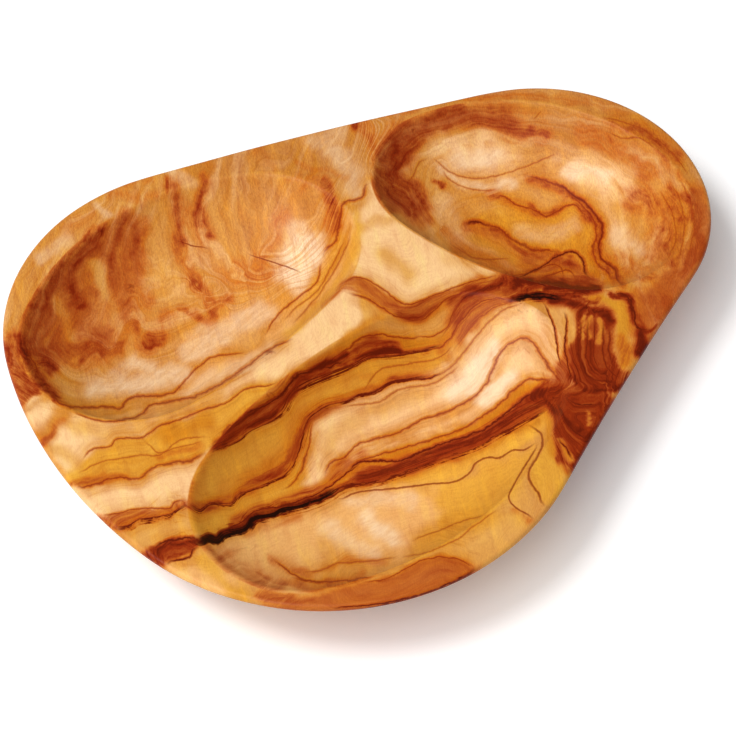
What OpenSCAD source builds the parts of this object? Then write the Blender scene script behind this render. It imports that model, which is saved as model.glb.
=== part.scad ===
// Dish with three wells for olives and nibbles, carved from one block of olive wood.
// Millimetres, +Z up. The origin lies on the table, under the middle of the rim.

/* [Dish] */
// Length of the dish across the rim, along X
dish_length = 220; // [205:1:250]
// Width of the dish across the rim, along Y
dish_width = 203; // [190:1:230]
// Height of the rim above the table
dish_height = 30; // [27:0.5:40]
// Length of the flat base that the dish stands on
base_length = 112; // [90:1:140]
// Slope of the underside just below the rim, in degrees from level
side_slope = 53; // [42:1:68]
// Rounding of the rim's outer edge
edge_r = 1.5; // [0.6:0.1:2.5]

/* [Rim outline] */
// Radius of the rim at the left lobe
left_lobe_r = 62; // [50:1:72]
// Radius of the rim at the right lobe
right_lobe_r = 53; // [46:1:64]
// Radius of the rim at the front lobe
front_lobe_r = 79; // [64:1:90]
// Place of the left lobe's centre along Y, as a share of the width
left_lobe_y_share = 0.018; // [-0.08:0.002:0.1]
// Place of the front lobe's centre along X, as a share of the length
front_lobe_x_share = -0.052; // [-0.12:0.002:0.05]
// Sweep radius of the rim's back side, bulging outwards
back_side_r = 1100; // [400:10:2000]
// Sweep radius of the rim's left side, bulging outwards
left_side_r = 144; // [115:1:240]
// Sweep radius of the rim's right side, which is drawn in as a waist
waist_r = 1200; // [300:10:3000]

/* [Wells] */
// Depth of the wells below the rim
well_depth = 20; // [14:0.5:22]
// Arc of a well's section from its floor up to its lip, in degrees
well_arc = 66; // [50:1:76]
// Rounding of the wells' lips
lip_r = 1.2; // [0.4:0.1:2]
// Slope of a well's wall where the lip begins, in degrees from level
lip_slope = 58; // [40:1:70]

/* [Left well] */
// Length of the left well, end to end
left_well_length = 116; // [100:1:122]
// Radius of its end beside the rim
left_well_rim_end_r = 33; // [24:0.5:36]
// Radius of its end beside the ridges
left_well_ridge_end_r = 30; // [22:0.5:34]
// Sweep radius of its side along the rim
left_well_rim_side_r = 79; // [66:1:120]
// Sweep radius of its side along the ridge
left_well_ridge_side_r = 185; // [140:1:400]
// Turn of its long axis from +X, in degrees
left_well_turn = 42; // [36:1:48]
// Place of its middle, as shares of the dish's length and width
left_well_place_shares = [-0.238, 0.070]; // [-0.4:0.002:0.4]

/* [Right well] */
// Length of the right well, end to end
right_well_length = 103; // [88:1:108]
// Radius of its end beside the rim
right_well_rim_end_r = 34; // [26:0.5:37]
// Radius of its end beside the ridges
right_well_ridge_end_r = 28; // [20:0.5:32]
// Sweep radius of its side along the rim
right_well_rim_side_r = 63; // [56:1:110]
// Sweep radius of its side along the ridge
right_well_ridge_side_r = 102; // [85:1:300]
// Turn of its long axis from -X, in degrees
right_well_turn = -20; // [-26:1:-14]
// Place of its middle, as shares of the dish's length and width
right_well_place_shares = [0.242, 0.271]; // [-0.4:0.002:0.4]

/* [Front well] */
// Length of the front well, end to end
front_well_length = 132; // [115:1:138]
// Radius of its end beside the rim
front_well_rim_end_r = 31; // [24:0.5:35]
// Radius of its end beside the ridges
front_well_ridge_end_r = 30.5; // [24:0.5:33]
// Sweep radius of its side along the rim
front_well_rim_side_r = 101; // [82:1:160]
// Sweep radius of its side along the ridge
front_well_ridge_side_r = 156; // [130:1:400]
// Turn of its long axis from +X, in degrees
front_well_turn = 43; // [37:1:49]
// Place of its middle, as shares of the dish's length and width
front_well_place_shares = [0.031, -0.2015]; // [-0.4:0.002:0.4]

/* [Hidden] */

// How far the wells' cutters stand above the rim
overrun = 0.5;
// Flat spot in the middle of a well's floor, as a share of its outline
floor_spot_share = 0.06;
// Segments along each lobe, each side, the underside, the edge, a well's section and its lip
lobe_steps = 18;
side_steps = 10;
underside_steps = 9;
edge_steps = 5;
section_steps = 10;
lip_steps = 2;
// Oiled olive wood
wood_colour = [0.80, 0.53, 0.25];

// Share of the rim that the base keeps, and where the underside meets the rounded edge
base_share = base_length / dish_length;
underside_inset = edge_r * (1 - sin(side_slope));
underside_rise = dish_height - edge_r * (1 + cos(side_slope));
// Centres of the rim's lobes, which touch the dish's length and width
right_lobe = [dish_length / 2 - right_lobe_r, dish_width / 2 - right_lobe_r];
left_lobe = [left_lobe_r - dish_length / 2, left_lobe_y_share * dish_width];
front_lobe = [front_lobe_x_share * dish_length, front_lobe_r - dish_width / 2];
// Angle at which a well's section starts, at its lip
lip_angle = 90 - well_arc;

// An angle between 0 and 360 degrees
function turn_of(angle) = (angle % 360 + 360) % 360;

function heading(from, to) = atan2(to.y - from.y, to.x - from.x);

function arc_points(centre, r, start, sweep, steps) = [
    for (i = [0 : steps - 1])
        let (angle = start + sweep * i / steps)
        centre + r * [cos(angle), sin(angle)]
];

// Centre of the side arc that touches lobes a and b, each given as [x, y, radius].
// A positive radius bulges outwards and a negative one is a waist.
function side_centre(a, b, side_r) =
    let (
        from = [a.x, a.y],
        span = norm([b.x, b.y] - from),
        ahead = ([b.x, b.y] - from) / span,
        outward = [ahead.y, -ahead.x],
        reach_a = abs(side_r - a.z),
        reach_b = abs(side_r - b.z),
        along = (span ^ 2 + reach_a ^ 2 - reach_b ^ 2) / (2 * span)
    )
    from + ahead * along - sign(side_r) * outward * sqrt(reach_a ^ 2 - along ^ 2);

// Heading from a lobe's centre to the point where a side arc touches it
function touch_heading(lobe, centre, side_r) =
    side_r > 0 ? heading(centre, lobe) : heading(lobe, centre);

// Closed outline of lobes, anticlockwise, each joined to the next by a side arc
function lobed_outline(lobes, sides) =
    let (
        count = len(lobes),
        centres = [for (i = [0 : count - 1]) side_centre(lobes[i], lobes[(i + 1) % count], sides[i])]
    )
    [
        for (i = [0 : count - 1])
            let (
                next = (i + 1) % count,
                last = (i + count - 1) % count,
                entry = touch_heading(lobes[i], centres[last], sides[last]),
                leave = touch_heading(lobes[i], centres[i], sides[i]),
                arrive = touch_heading(lobes[next], centres[i], sides[i]),
                bulges = sides[i] > 0,
                side_start = bulges ? leave : leave + 180,
                side_sweep = bulges ? turn_of(arrive - leave) : -turn_of(leave - arrive)
            )
            each concat(
                arc_points([lobes[i].x, lobes[i].y], lobes[i].z, entry, turn_of(leave - entry), lobe_steps),
                arc_points(centres[i], abs(sides[i]), side_start, side_sweep, side_steps)
            )
    ];

// The rim's outline, drawn in by an inset
function rim_outline(inset) = lobed_outline(
    [
        [right_lobe.x, right_lobe.y, right_lobe_r - inset],
        [left_lobe.x, left_lobe.y, left_lobe_r - inset],
        [front_lobe.x, front_lobe.y, front_lobe_r - inset]
    ],
    [back_side_r - inset, left_side_r - inset, -waist_r - inset]
);

function ring(outline, z) = [for (p = outline) [p.x, p.y, z]];

function shrunk(outline, middle, share) = [for (p = outline) middle + share * (p - middle)];

// Closed solid skinned over rings of equal count, from the lowest up
module skin(rings) {
    count = len(rings[0]);
    top = (len(rings) - 1) * count;
    walls = [
        for (row = [0 : count : top - count])
            for (i = [0 : count - 1])
                let (next = (i + 1) % count)
                each [
                    [row + i, row + count + i, row + count + next],
                    [row + i, row + count + next, row + next]
                ]
    ];
    bottom_face = [for (i = [0 : count - 1]) i];
    top_face = [for (i = [count - 1 : -1 : 0]) top + i];
    polyhedron([for (r = rings) each r], concat([bottom_face], walls, [top_face]));
}

// The block before carving: flat base, bowed underside, rounded edge and flat top
module blank() {
    side = rim_outline(underside_inset);
    underside = [
        for (i = [0 : underside_steps - 1])
            let (
                angle = side_slope * i / underside_steps,
                share = base_share + (1 - base_share) * sin(angle) / sin(side_slope),
                z = underside_rise * (1 - cos(angle)) / (1 - cos(side_slope))
            )
            ring(shrunk(side, [0, 0], share), z)
    ];
    edge_start = side_slope - 90;
    edge = [
        for (i = [0 : edge_steps])
            let (angle = edge_start + (90 - edge_start) * i / edge_steps)
            ring(rim_outline(edge_r * (1 - cos(angle))), dish_height - edge_r * (1 - sin(angle)))
    ];
    skin(concat(underside, edge));
}

// Cutter for one oval well. The two sides follow its ends anticlockwise, from the rim end on.
module well_cutter(place_shares, turn, length, rim_end_r, ridge_end_r, sides) {
    middle = [place_shares.x * dish_length, place_shares.y * dish_width];
    ahead = [cos(turn), sin(turn)];
    rim_end = middle - ahead * (length / 2 - rim_end_r);
    ridge_end = middle + ahead * (length / 2 - ridge_end_r);
    function outline(grow) = lobed_outline(
        [
            [rim_end.x, rim_end.y, rim_end_r + grow],
            [ridge_end.x, ridge_end.y, ridge_end_r + grow]
        ],
        [sides[0] + grow, sides[1] + grow]
    );
    bowl = [
        for (i = [0 : section_steps - 1])
            let (
                angle = 90 - well_arc * i / section_steps,
                share = max(floor_spot_share, cos(angle) / cos(lip_angle)),
                depth = well_depth * (sin(angle) - sin(lip_angle)) / (1 - sin(lip_angle))
            )
            ring(shrunk(outline(0), middle, share), dish_height - depth)
    ];
    lip_reach = lip_r * tan(lip_slope / 2);
    lip = [
        for (i = [0 : lip_steps - 1])
            let (angle = lip_slope * (1 - i / lip_steps))
            ring(outline(lip_reach - lip_r * sin(angle)), dish_height - lip_r * (1 - cos(angle)))
    ];
    last_slope = lip_slope / lip_steps / 2;
    above = ring(outline(lip_reach + overrun / tan(last_slope)), dish_height + overrun);
    skin(concat(bowl, lip, [above]));
}

module left_well() {
    well_cutter(
        left_well_place_shares, left_well_turn, left_well_length,
        left_well_rim_end_r, left_well_ridge_end_r,
        [left_well_ridge_side_r, left_well_rim_side_r]
    );
}

module right_well() {
    well_cutter(
        right_well_place_shares, right_well_turn + 180, right_well_length,
        right_well_rim_end_r, right_well_ridge_end_r,
        [right_well_rim_side_r, right_well_ridge_side_r]
    );
}

module front_well() {
    well_cutter(
        front_well_place_shares, front_well_turn, front_well_length,
        front_well_rim_end_r, front_well_ridge_end_r,
        [front_well_rim_side_r, front_well_ridge_side_r]
    );
}

module dish() {
    color(wood_colour)
        difference() {
            blank();
            left_well();
            right_well();
            front_well();
        }
}

dish();
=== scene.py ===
import math

import bmesh
import bpy
import numpy as np
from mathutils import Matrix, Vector, geometry, noise


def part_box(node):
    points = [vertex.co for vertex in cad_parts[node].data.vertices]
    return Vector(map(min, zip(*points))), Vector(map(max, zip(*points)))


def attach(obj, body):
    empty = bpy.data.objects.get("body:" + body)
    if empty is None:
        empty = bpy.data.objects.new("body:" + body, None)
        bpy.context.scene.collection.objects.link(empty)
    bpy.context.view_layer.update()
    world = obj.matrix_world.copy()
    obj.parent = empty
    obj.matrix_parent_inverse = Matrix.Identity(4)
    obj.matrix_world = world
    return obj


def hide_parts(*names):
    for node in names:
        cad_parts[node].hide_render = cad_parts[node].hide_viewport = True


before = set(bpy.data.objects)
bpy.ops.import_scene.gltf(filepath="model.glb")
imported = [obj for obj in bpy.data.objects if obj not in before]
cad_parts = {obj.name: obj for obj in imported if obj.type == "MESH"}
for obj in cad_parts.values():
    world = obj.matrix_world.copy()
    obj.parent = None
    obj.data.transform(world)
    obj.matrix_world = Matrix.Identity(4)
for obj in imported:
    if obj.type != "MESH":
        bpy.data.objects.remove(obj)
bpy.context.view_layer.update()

MM = 0.001

# The photograph's camera: its size in pixels, its lens, and where it looks
IMAGE_SIZE = 736
SENSOR_WIDTH = 36.0
LENS = 130.0
CAMERA_ELEVATION = math.radians(52)
CAMERA_DISTANCE = 0.80
CAMERA_TARGET = Vector((0.00154, -0.01600, 0.030))

# Reading the CAD node: points that count as one place, and the bend that makes a corner
SAME_PLACE = 0.01 * MM
CORNER_OFFSET = 0.008 * MM
# Fit of a well's section: shares of the way to its lip, step between outline points, and degree
SECTION_SHARES = np.linspace(0.05, 0.96, 40)
SECTION_STRIDE = 7
SECTION_DEGREE = 5

# Mesh of the dish: points round the rim and the wells, and rings, which crowd towards the lips
RIM_POINTS = 620
WELL_POINTS = 256
WELL_RINGS = 50
RING_CROWDING = 1.25
WELL_MARGIN = 0.5 * MM
LIP_BLEND = 0.9 * MM
LAND_SPACING = 1.0 * MM
LAND_CLEARANCE = 0.6 * LAND_SPACING
LAND_INSET = 1.7 * MM
MERGE_GAP = 1e-9
EDGE_STEPS = 9
UNDERSIDE_STEPS = 20
BASE_STEPS = 8
SIDE_SLOPE = math.radians(53)

# Hand-sanded unevenness, and the shares of the height at which it eases off and is full
UNDULATION = 0.16 * MM
UNDULATION_SIZE = 24 * MM
UNDULATION_PEAK = 0.75
UNDULATION_FULL = 0.9

# The stage: floor, world and lamps
FLOOR_HALF = 4.0
FLOOR_DROP = 0.3 * MM
FLOOR_COLOUR = (0.94, 0.94, 0.94, 1)
# Brightness that the floor adds where it is seen
FLOOR_LIFT = 0.18
WHITE = (1, 1, 1, 1)
WORLD_STRENGTH = 0.2
LAMPS = {
    "key": {"place": (-1.05, -0.35, 2.1), "size": 0.8, "power": 33},
    "fill": {"place": (-0.65, -1.2, 2.1), "size": 1.4, "power": 26.5},
}

# The figure below the rim: normals between which it turns down, its slope, and its drift in pixels
BELOW_NORMALS = (0.15, -0.25)
FIGURE_TILT = 0.3
DRIFT = 26
DRIFT_SIZE = 45 * MM

# Seed of the noise that sways the figure, so that each run gives the same result
NOISE_SEED = 1

# Steps of a rounded line between two drawn points
LINE_STEPS = 3

# Patches and strokes: how their edges sway and fray, in pixels, and a stroke's fade in half widths
PATCH_SWAY = 5
PATCH_SWAY_SIZE = 16
RAGGED_SIZE = 24
RAGGED_OCTAVES = 3
STROKE_RAGGED = 0.35
STROKE_FADE = (1.5, 0.1)

# Fade at the ends of a vein in pixels, or as a share of a short vein
VEIN_FADE = 14
SHORT_VEIN_FADE = 1 / 3
# Wobble of veins in pixels, and the half width below which they wobble less
VEIN_WOBBLE = 8
FULL_WOBBLE_WIDTH = 4
# Halo round a vein in pixels, and the half width from which it is full
VEIN_HALO = 5
FULL_HALO_WIDTH = 3
# Where a vein ends and is whole, in half widths, and where its halo does, in halos
VEIN_REACH = (2.6, 1.6)
HALO_REACH = (3, 1)

# Growth lines: how far and how steeply a guiding line's hold falls off, and the striped area's edge
GROWTH_SOFTNESS = 4
GROWTH_FALLOFF = 3
STRIPED_SOFTNESS = 30

# Pixels in one unit of the figure's coordinates in the shader
FIGURE_UNIT = 100
# Middle of noise that goes from 0 to 1
NOISE_MIDDLE = 0.5


# The shape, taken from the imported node

def land_loops(node):
    """Loops of points round the flat land of the CAD node: the rim, then the wells from the left."""
    mesh = bmesh.new()
    mesh.from_mesh(node.data)
    bmesh.ops.remove_doubles(mesh, verts=mesh.verts, dist=SAME_PLACE)
    top = max(v.co.z for v in mesh.verts)
    land = {f for f in mesh.faces if all(top - v.co.z < SAME_PLACE for v in f.verts)}
    edges = [e for e in mesh.edges if sum(f in land for f in e.link_faces) == 1]
    beside = {}
    for edge in edges:
        for vert in edge.verts:
            beside.setdefault(vert, []).append(edge.other_vert(vert))
    loops = []
    unused = set(beside)
    while unused:
        loop = [min(unused, key=lambda v: v.index)]
        unused.discard(loop[0])
        while True:
            following = [v for v in beside[loop[-1]] if v in unused]
            if not following:
                break
            loop.append(following[0])
            unused.discard(following[0])
        loops.append(np.array([v.co.xy for v in loop]))
    mesh.free()
    loops.sort(key=lambda p: -np.ptp(p[:, 0]))
    rim = loops[0]
    wells = sorted(loops[1:], key=lambda p: p[:, 0].mean())
    return [corners_only(anticlockwise(p)) for p in [rim] + wells]


def corners_only(points):
    """The points at which a loop turns."""
    before = np.roll(points, 1, axis=0)
    span = np.roll(points, -1, axis=0) - before
    span /= np.linalg.norm(span, axis=1)[:, None]
    to_point = points - before
    offset = np.abs(span[:, 0] * to_point[:, 1] - span[:, 1] * to_point[:, 0])
    return points[offset > CORNER_OFFSET]


def anticlockwise(points):
    x, y = points.T
    area = np.sum(x * np.roll(y, -1) - np.roll(x, -1) * y)
    return points if area > 0 else points[::-1]


def smooth_loop(points, count):
    """A closed curve through the points, as count points at even steps along it."""
    ahead = np.roll(points, -1, axis=0) - points
    gaps = np.linalg.norm(ahead, axis=1)
    slopes = ahead / gaps[:, None]
    before = np.roll(gaps, 1)
    weighed = slopes * before[:, None] + np.roll(slopes, 1, axis=0) * gaps[:, None]
    tangents = weighed / (gaps + before)[:, None]
    starts = np.concatenate([[0], np.cumsum(gaps)])
    at = np.linspace(0, starts[-1], count, endpoint=False)
    i = np.minimum(np.searchsorted(starts, at, side="right") - 1, len(points) - 1)
    j = (i + 1) % len(points)
    t = ((at - starts[i]) / gaps[i])[:, None]
    gap = gaps[i][:, None]
    return (
        (2 * t**3 - 3 * t**2 + 1) * points[i]
        + (t**3 - 2 * t**2 + t) * gap * tangents[i]
        + (3 * t**2 - 2 * t**3) * points[j]
        + (t**3 - t**2) * gap * tangents[j]
    )


def outward(points):
    """Unit normals of an anticlockwise loop, pointing out of it."""
    along = np.roll(points, -1, axis=0) - np.roll(points, 1, axis=0)
    along /= np.linalg.norm(along, axis=1)[:, None]
    return np.column_stack([along[:, 1], -along[:, 0]])


def well_middle(loop):
    """The middle of a well's long axis."""
    apart = np.linalg.norm(loop[:, None] - loop[None], axis=2)
    i, j = np.unravel_index(np.argmax(apart), apart.shape)
    return (loop[i] + loop[j]) / 2


def well_section(node, middle, loop, top):
    """The CAD well's height, as a polynomial in the square of the share from its middle to its lip."""
    squares, heights = [], []
    for point in loop[::SECTION_STRIDE]:
        for share in SECTION_SHARES:
            x, y = middle + share * (point - middle)
            hit, place, _, _ = node.ray_cast(Vector((x, y, 2 * top)), Vector((0, 0, -1)))
            if hit:
                squares.append(share**2)
                heights.append(place.z)
    return np.polyfit(squares, heights, SECTION_DEGREE)


def soft_min(a, b, blend):
    """The lower of two heights, rounded over where they meet."""
    h = np.clip(0.5 + 0.5 * (b - a) / blend, 0, 1)
    return b * (1 - h) + a * h - blend * h * (1 - h)


class MeshRings:
    """Points and faces of a mesh that is made of rings."""

    def __init__(self):
        self.points = []
        self.faces = []
        self.carved = []

    def ring(self, plan, z):
        start = len(self.points)
        self.points += [(x, y, z) for x, y in plan]
        return range(start, len(self.points))

    def skin(self, inner, outer):
        count = len(inner)
        for i in range(count):
            k = (i + 1) % count
            self.faces.append((inner[i], outer[i], outer[k], inner[k]))

    def cap(self, ring, middle, z, downward=False):
        self.points.append((middle[0], middle[1], z))
        centre = len(self.points) - 1
        for i, first in enumerate(ring):
            second = ring[(i + 1) % len(ring)]
            self.faces.append((centre, second, first) if downward else (centre, first, second))


def add_well(mesh, node, loop, top):
    """The bowl of one well, out to a ring on the land just past its lip, which is returned."""
    middle = well_middle(loop)
    section = well_section(node, middle, loop, top)
    outline = smooth_loop(loop, WELL_POINTS)
    steps = np.linspace(0, 1, WELL_RINGS + 1)[1:]
    first = len(mesh.points)
    inner = None
    for share in 1 - (1 - steps) ** RING_CROWDING:
        bowl = np.polyval(section, share**2)
        z = soft_min(bowl, top, LIP_BLEND)
        outer = mesh.ring(middle + share * (outline - middle), z)
        if inner is None:
            mesh.cap(outer, middle, z)
        else:
            mesh.skin(inner, outer)
        inner = outer
    mesh.carved += range(first, len(mesh.points))
    land = mesh.ring(outline + WELL_MARGIN * outward(outline), top)
    mesh.skin(inner, land)
    return land


def outside_rings(outline, base_share, edge, top):
    """Outlines and heights of rings from the edge down the underside and over the base."""
    out = outward(outline)
    yield outline - (LAND_INSET - edge) * out, top
    edge_end = SIDE_SLOPE - math.pi / 2
    for angle in np.linspace(math.pi / 2, edge_end, EDGE_STEPS + 1):
        yield outline + edge * math.cos(angle) * out, top - edge * (1 - math.sin(angle))
    side = outline + edge * math.cos(edge_end) * out
    rise = top - edge * (1 - math.sin(edge_end))
    for angle in np.linspace(SIDE_SLOPE, 0, UNDERSIDE_STEPS + 1)[1:]:
        share = base_share + (1 - base_share) * math.sin(angle) / math.sin(SIDE_SLOPE)
        yield side * share, rise * (1 - math.cos(angle)) / (1 - math.cos(SIDE_SLOPE))
    for share in np.linspace(base_share, 0, BASE_STEPS + 1)[1:-1]:
        yield side * share, 0.0


def add_outside(mesh, rim, base_share, edge, top):
    """The dish's outside and base. Returns the ring where the land starts."""
    outline = smooth_loop(rim, RIM_POINTS)
    rings = [mesh.ring(plan, z) for plan, z in outside_rings(outline, base_share, edge, top)]
    for inner, outer in zip(rings[:-1], rings[1:]):
        mesh.skin(inner, outer)
    mesh.cap(rings[-1], (0.0, 0.0), 0.0, downward=True)
    return rings[0]


def inside(points, loop):
    """Which points lie inside a loop."""
    x, y = points.T
    within = np.zeros(len(points), bool)
    for (x0, y0), (x1, y1) in zip(loop, np.roll(loop, -1, axis=0)):
        if y0 == y1:
            continue
        crosses = (y0 > y) != (y1 > y)
        within ^= crosses & (x < (x1 - x0) * (y - y0) / (y1 - y0) + x0)
    return within


def on_land(points, plans):
    """Which points lie inside the first loop, the rim, and outside the others, the wells."""
    found = inside(points, plans[0])
    for plan in plans[1:]:
        found &= ~inside(points, plan)
    return found


def far_from(points, loop, gap):
    keep = np.ones(len(points), bool)
    for corner in loop:
        keep &= np.hypot(points[:, 0] - corner[0], points[:, 1] - corner[1]) > gap
    return keep


def add_land(mesh, rim_ring, well_rings, top):
    """Even triangles over the flat land between the rim and the wells."""
    loops = [list(rim_ring)] + [list(r) for r in well_rings]
    plans = [np.array([mesh.points[i][:2] for i in loop]) for loop in loops]
    low, high = plans[0].min(axis=0), plans[0].max(axis=0)
    rows = np.arange(low[1], high[1], LAND_SPACING * math.sqrt(3) / 2)
    columns = np.arange(low[0], high[0], LAND_SPACING)
    grid = np.array([(x + (r % 2) * LAND_SPACING / 2, y) for r, y in enumerate(rows) for x in columns])
    grid = grid[on_land(grid, plans)]
    for plan in plans:
        grid = grid[far_from(grid, plan, LAND_CLEARANCE)]
    first = len(mesh.points)
    mesh.points += [(x, y, top) for x, y in grid]
    indices = [i for loop in loops for i in loop] + list(range(first, len(mesh.points)))
    flat = [Vector(mesh.points[i][:2]) for i in indices]
    edges, start = [], 0
    for loop in loops:
        count = len(loop)
        edges += [(start + i, start + (i + 1) % count) for i in range(count)]
        start += count
    found = geometry.delaunay_2d_cdt(flat, edges, [], 0, MERGE_GAP, True)
    places, faces, origins = found[0], found[2], found[3]
    centres = np.array([np.mean([places[i] for i in f], axis=0) for f in faces])
    for face, use in zip(faces, on_land(centres, plans)):
        if use:
            mesh.faces.append(tuple(indices[origins[i][0]] for i in face))


def undulation_share(height):
    """How much of the unevenness shows at a share of the height: none at the base, all on the land."""
    if height >= UNDULATION_FULL:
        return 1
    return min(height, 2 * UNDULATION_PEAK - height)


def dish_mesh(node):
    """The dish as one closed smooth mesh over the CAD node, and which of its vertices lie in a well."""
    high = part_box("dish")[1]
    top = high[2]
    rim, *wells = land_loops(node)
    edge = high[0] - rim[:, 0].max()
    base = [v.co.x for v in node.data.vertices if v.co.z < SAME_PLACE]
    base_share = max(base) / high[0]
    mesh = MeshRings()
    rim_ring = add_outside(mesh, rim, base_share, edge, top)
    well_rings = [add_well(mesh, node, loop, top) for loop in wells]
    add_land(mesh, rim_ring, well_rings, top)
    points = []
    for x, y, z in mesh.points:
        sway = noise.noise(Vector((x, y, z)) / UNDULATION_SIZE) - 1
        points.append((x, y, z + UNDULATION * sway * undulation_share(z / top)))
    data = bpy.data.meshes.new("dish_wood")
    data.from_pydata(points, [], mesh.faces)
    data.validate()
    data.polygons.foreach_set("use_smooth", [True] * len(data.polygons))
    data.update()
    carved = np.zeros(len(points))
    carved[mesh.carved] = 1
    return data, carved


# The figure of the wood, drawn in the photograph's pixels

# Colours in red, green and blue from 0 to 255
PALETTE = {
    "pale": (255, 228, 188),
    "cream": (254, 208, 148),
    "sand": (244, 186, 112),
    "honey": (228, 168, 86),
    "tan": (221, 158, 78),
    "umber": (207, 140, 68),
    "yellow": (236, 174, 66),
    "gold": (228, 164, 58),
    "ochre": (216, 148, 44),
    "amber": (208, 129, 26),
    "orange": (200, 98, 14),
    "rust": (184, 84, 24),
    "brick": (168, 66, 18),
    "redbrown": (146, 46, 8),
    "dark": (104, 26, 2),
    "black": (32, 6, 0),
}

# Colour of wood that no patch covers
GROUND = "tan"
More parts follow.
